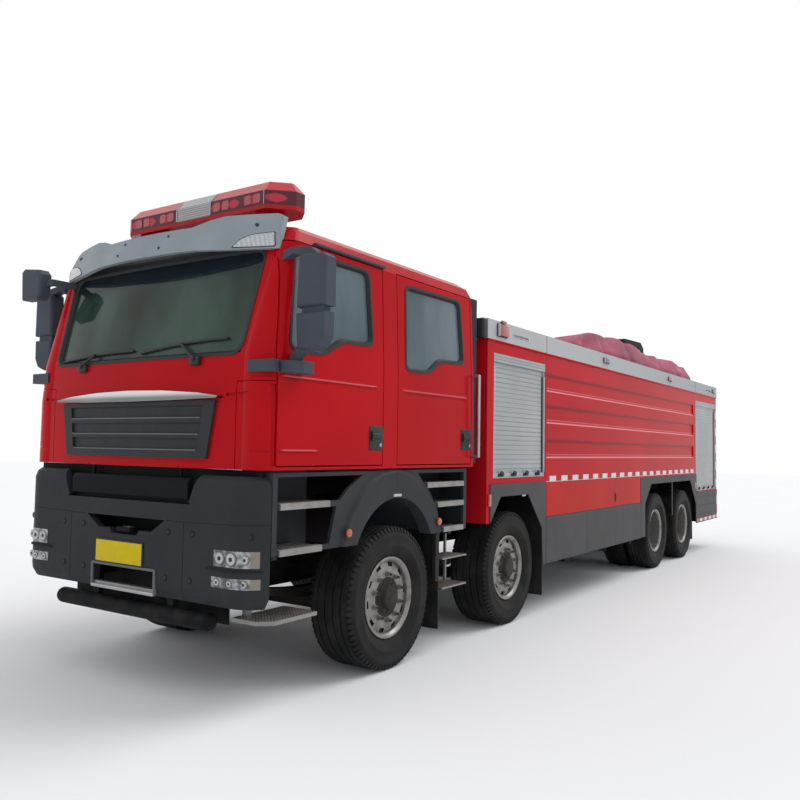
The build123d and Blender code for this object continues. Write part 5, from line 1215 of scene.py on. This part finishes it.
# Painted reflection: the chrome runs from dark at its foot to bright at its head by height.
height_reflection = z.step(foot + (head - foot) * 0.25, foot + (head - foot) * 0.75) * 0.8 + wire.noise(3.0, 3.0) * 0.2
plug("Base Color", height_reflection.blend(srgb(112, 110, 108), srgb(218, 219, 220)))
plug("Roughness", 0.07 + wire.noise(40.0, 4.0) * 0.08)
dress(bright, "grille_bar")

# Seats: two suspension seats in front and four in a row behind, padded foam in dark woven cloth on black
# moulded boxes. Each pad is crowned, pulled in at its corners, and sewn along its middle channels.
SEATS = ((0.640, -0.420), (-0.640, -0.420), (0.780, 0.640), (0.260, 0.640), (-0.260, 0.640), (-0.780, 0.640))
SEAT_LEAN = 0.14
woven, wire, plug = finish("seat_weave", Sheen_Weight=0.3, Sheen_Roughness=0.5)
x, y, z = wire.place()
thread = (x.waves(0.006) + (y + z).waves(0.006)) * 0.5
plug("Base Color", (thread * 0.5 + wire.noise(10.0, 4.0) * 0.5).blend(srgb(34, 36, 42), srgb(66, 68, 76)))
plug("Roughness", 0.75 + wire.noise(30.0) * 0.15)
plug("Normal", thread.bump(0.4, 0.001))


def pad(shape, x, y, z, face_axis, channel, lean=0.0):
    """A crowned cushion between spans, its edges drawn in and two channels sewn down its face."""
    low, high = Vector((x[0], y[0], z[0])), Vector((x[1], y[1], z[1]))
    middle, half = (low + high) / 2, (high - low) / 2
    part = bmesh.new()
    bmesh.ops.create_cube(part, size=2.0)
    bmesh.ops.subdivide_edges(part, edges=part.edges, cuts=9, use_grid_fill=True)
    for vert in part.verts:
        u = vert.co.copy()
        soft = Vector([math.sin(c * math.pi / 2 * 0.98) for c in u])
        others = [k for k in range(3) if k != face_axis]
        crown = (1 - u[others[0]] ** 4) * (1 - u[others[1]] ** 4)
        squeeze = 0.86 + 0.14 * crown
        soft[face_axis] *= squeeze
        seam = max(0.0, 1 - abs(abs(u[channel]) - 0.5) / 0.1) * crown
        soft[face_axis] *= 1 - 0.10 * seam
        place = Vector([middle[k] + half[k] * soft[k] for k in range(3)])
        place.y += (place.z - low.z) * lean
        vert.co = at(*place)
    join(shape, part)


for k, (x, y) in enumerate(SEATS):
    shape = bmesh.new()
    pad(shape, (x - 0.235, x + 0.235), (y - 0.245, y + 0.165), (1.872, 2.004), 2, 0)
    pad(shape, (x - 0.225, x + 0.225), (y + 0.165, y + 0.265), (1.965, 2.560), 1, 0, SEAT_LEAN)
    pad(shape, (x - 0.130, x + 0.130), (y + 0.250, y + 0.330), (2.575, 2.760), 1, 2)
    made = piece(f"seat_pads_{k + 1}", shape, "cab", woven, slot="seat_cloth", stands_for=["seats"])
shape = bmesh.new()
for x, y in SEATS:
    brick(shape, (x - 0.190, x + 0.190), (y - 0.180, y + 0.240), (1.556, 1.872), 0.012, 2)
    brick(shape, (x - 0.215, x + 0.215), (y + 0.170, y + 0.295), (1.860, 1.960), 0.012, 2)
    for dx in (-0.06, 0.06):
        bar(shape, (x + dx, y + 0.285, 2.540), (x + dx, y + 0.290, 2.600), 0.006, 8, 1)
piece("seat_boxes", shape, "cab", black_grain, rail_steel, stands_for=["seats"])

# Bumper: one wide dark grey moulding with a fine grain, bolted on through sunk holes. Black sheets behind it
# stand for the shade seen through its openings, a step frame fills its lower opening, and a blank plate hangs
# on its front.
bumper_grey = grained("bumper_grey", srgb(50, 52, 56), grain=340.0, depth=0.18)
dress(bumper_grey, "bumper")
bumper_skin = surface("bumper")
SHADE_SHEET_HIGH = ((-1.150, 1.150), (-1.345, -1.337), (1.300, 1.467))
SHADE_SHEET_LOW = ((-0.800, 0.800), (-1.250, -1.242), (0.480, 1.200))
# Two black sheets behind the bumper, painted shade where the openings above and inside it show through.
shape = bmesh.new()
for spans in (SHADE_SHEET_HIGH, SHADE_SHEET_LOW):
    brick(shape, *spans, 0.002, 1)
piece("front_shade_sheets", shape, "chassis", chassis_black, smooth=False)
SCREWS = ((-0.675, 1.060), (-0.445, 1.057), (0.445, 1.057), (0.675, 1.060), (-0.660, 0.770), (-0.430, 0.767),
          (0.430, 0.767), (0.660, 0.770), (1.130, 1.070), (-1.130, 1.070))
SCREW_R = 0.023
shape = bmesh.new()
# Each screw stands in a near black disc, painted shade in its sunk hole.
for x, z in SCREWS:
    y = front(bumper_skin, x, z)
    peg(shape, x, (y + 0.004, y - 0.0015), z, SCREW_R, 24, 4, round_off=0.001)
    peg(shape, x, (y + 0.004, y - 0.0035), z, SCREW_R * 0.5, 6)
PLATE_X, PLATE_Z = (-0.282, 0.200), (0.818, 0.960)
y = front(bumper_skin, -0.04, 0.89)
brick(shape, (PLATE_X[0] - 0.010, PLATE_X[1] + 0.010), (y - 0.008, y),
      (PLATE_Z[0] - 0.010, PLATE_Z[1] + 0.010), 0.003, 2)
brick(shape, PLATE_X, (y - 0.011, y - 0.006), PLATE_Z, 0.0015, 2, 1)
for x in (PLATE_X[0] + 0.07, PLATE_X[1] - 0.07):
    for z in (PLATE_Z[0] + 0.016, PLATE_Z[1] - 0.016):
        peg(shape, x, (y - 0.010, y - 0.013), z, 0.006, 12, 2)
STEP_FRAME_X, STEP_FRAME_Z = (-0.327, 0.327), (0.640, 0.803)
for x in STEP_FRAME_X:
    brick(shape, (x - 0.010, x + 0.010), (y - 0.008, y + 0.02), STEP_FRAME_Z, 0.006, 3, 3)
brick(shape, STEP_FRAME_X, (y - 0.008, y + 0.02), (STEP_FRAME_Z[1] - 0.012, STEP_FRAME_Z[1] + 0.006), 0.006,
      3, 3)
brick(shape, STEP_FRAME_X, (y - 0.010, y + 0.02), (STEP_FRAME_Z[0] - 0.006, STEP_FRAME_Z[0] + 0.018), 0.006,
      3, 2)
# A near black strip between each corner's upper and lower lamps.
for s in (1, -1):
    skin_pad(shape, [(s * 0.810, 0.860), (s * 0.810, 0.868), (s * 1.185, 0.868), (s * 1.185, 0.860)],
             bumper_skin,
             from_front, 0.016, cuts=6, index=4)
brick(shape, (-0.045, 0.045), (-1.444, -1.400), (1.030, 1.062), 0.008, 3, 2)
piece("bumper_fittings", shape, "chassis", latch_black, plate_yellow, alloy, ledge_grey, black_and_hole_shade)

# Headlamps: clear polycarbonate over bright bowls, a large twin lamp above and fog and turn lamps below,
# in black bezels at each corner of the bumper.
bowl_glass, wire, plug = finish("headlamp", Metallic=0.25, Coat_Weight=0.25, Coat_Roughness=0.02,
                                Specular_IOR_Level=0.3)
x, y, z = wire.place()
side_x = abs(x)
glint = wire.noise(22.0, 1.0).step(0.35, 0.65)
outer_end = side_x.step(1.128, 1.140)
plug("Base Color", outer_end.blend(glint.blend(srgb(84, 86, 88), srgb(168, 169, 170)), srgb(132, 124, 114)))
plug("Roughness", 0.14 + wire.noise(60.0) * 0.12)
plug("Normal", (side_x.waves(0.012) * 0.6 + z.waves(0.012) * 0.4).bump(0.10, 0.001))
dress(bowl_glass, "headlamps")
lamp_skin = surface("headlamps")
BOWLS = ((0.925, 0.934, 0.040), (1.020, 0.934, 0.042), (1.108, 0.934, 0.030),
         (0.905, 0.788, 0.024), (1.010, 0.788, 0.022), (1.105, 0.788, 0.026))
shape = bmesh.new()
for s in (1, -1):
    for x, z, r in BOWLS:
        y = front(lamp_skin, s * x, z)
        peg(shape, s * x, (y + 0.006, y - 0.004), z, r, 28, 0, round_off=0.003)
        peg(shape, s * x, (y - 0.002, y - 0.0055), z, r * 0.82, 28, 1, round_off=0.002)
        peg(shape, s * x, (y - 0.004, y - 0.0075), z, r * 0.34, 18, 2, round_off=0.001)
# The bowls share the chrome bar's finish and lie below it, so they take the dark end of its painted
# reflection.
piece("lamp_bowls", shape, "chassis", bright, clear_lens, latch_black)

# Step wells and wheel flares: the same dark grained moulding as the bumper, with amber marker lamps on the
# flares. The treads in them and below are folded chequer plate with a bright front lip.
well_grey = grained("well_grey", srgb(58, 60, 64), grain=340.0, depth=0.16)
dress(well_grey, "step_wells")
tread_plate = chequer_plate("tread_plate", srgb(116, 110, 104), srgb(182, 180, 176), metallic=0.6,
                            pitch=0.026)
dress(tread_plate, "step_treads")
FLARE_X = 1.228
FLARE_LAMP_Y, FLARE_LAMP_Z = (-0.590, 0.585), 1.040
shape = bmesh.new()
for s in (1, -1):
    for y in FLARE_LAMP_Y:
        for start, stop, r, kind, soft in ((-0.004, 0.006, 0.034, 1, 0.002), (0.004, 0.018, 0.029, 0, 0.007)):
            peg(shape, (s * (FLARE_X + start), s * (FLARE_X + stop)), y, FLARE_LAMP_Z,
                r, 28, kind, round_off=soft)
    brick(shape, (s * (FLARE_X - 0.003), s * (FLARE_X + 0.006)), (-0.050, 0.050), (1.262, 1.282), 0.004, 3, 2)
    brick(shape, (s * (FLARE_X - 0.001), s * (FLARE_X + 0.0012)), (-0.0025, 0.0025), (1.285, 1.455), 0.0004,
          1, 1)
piece("flare_lamps", shape, "chassis", amber_lens, latch_black, clear_lens)
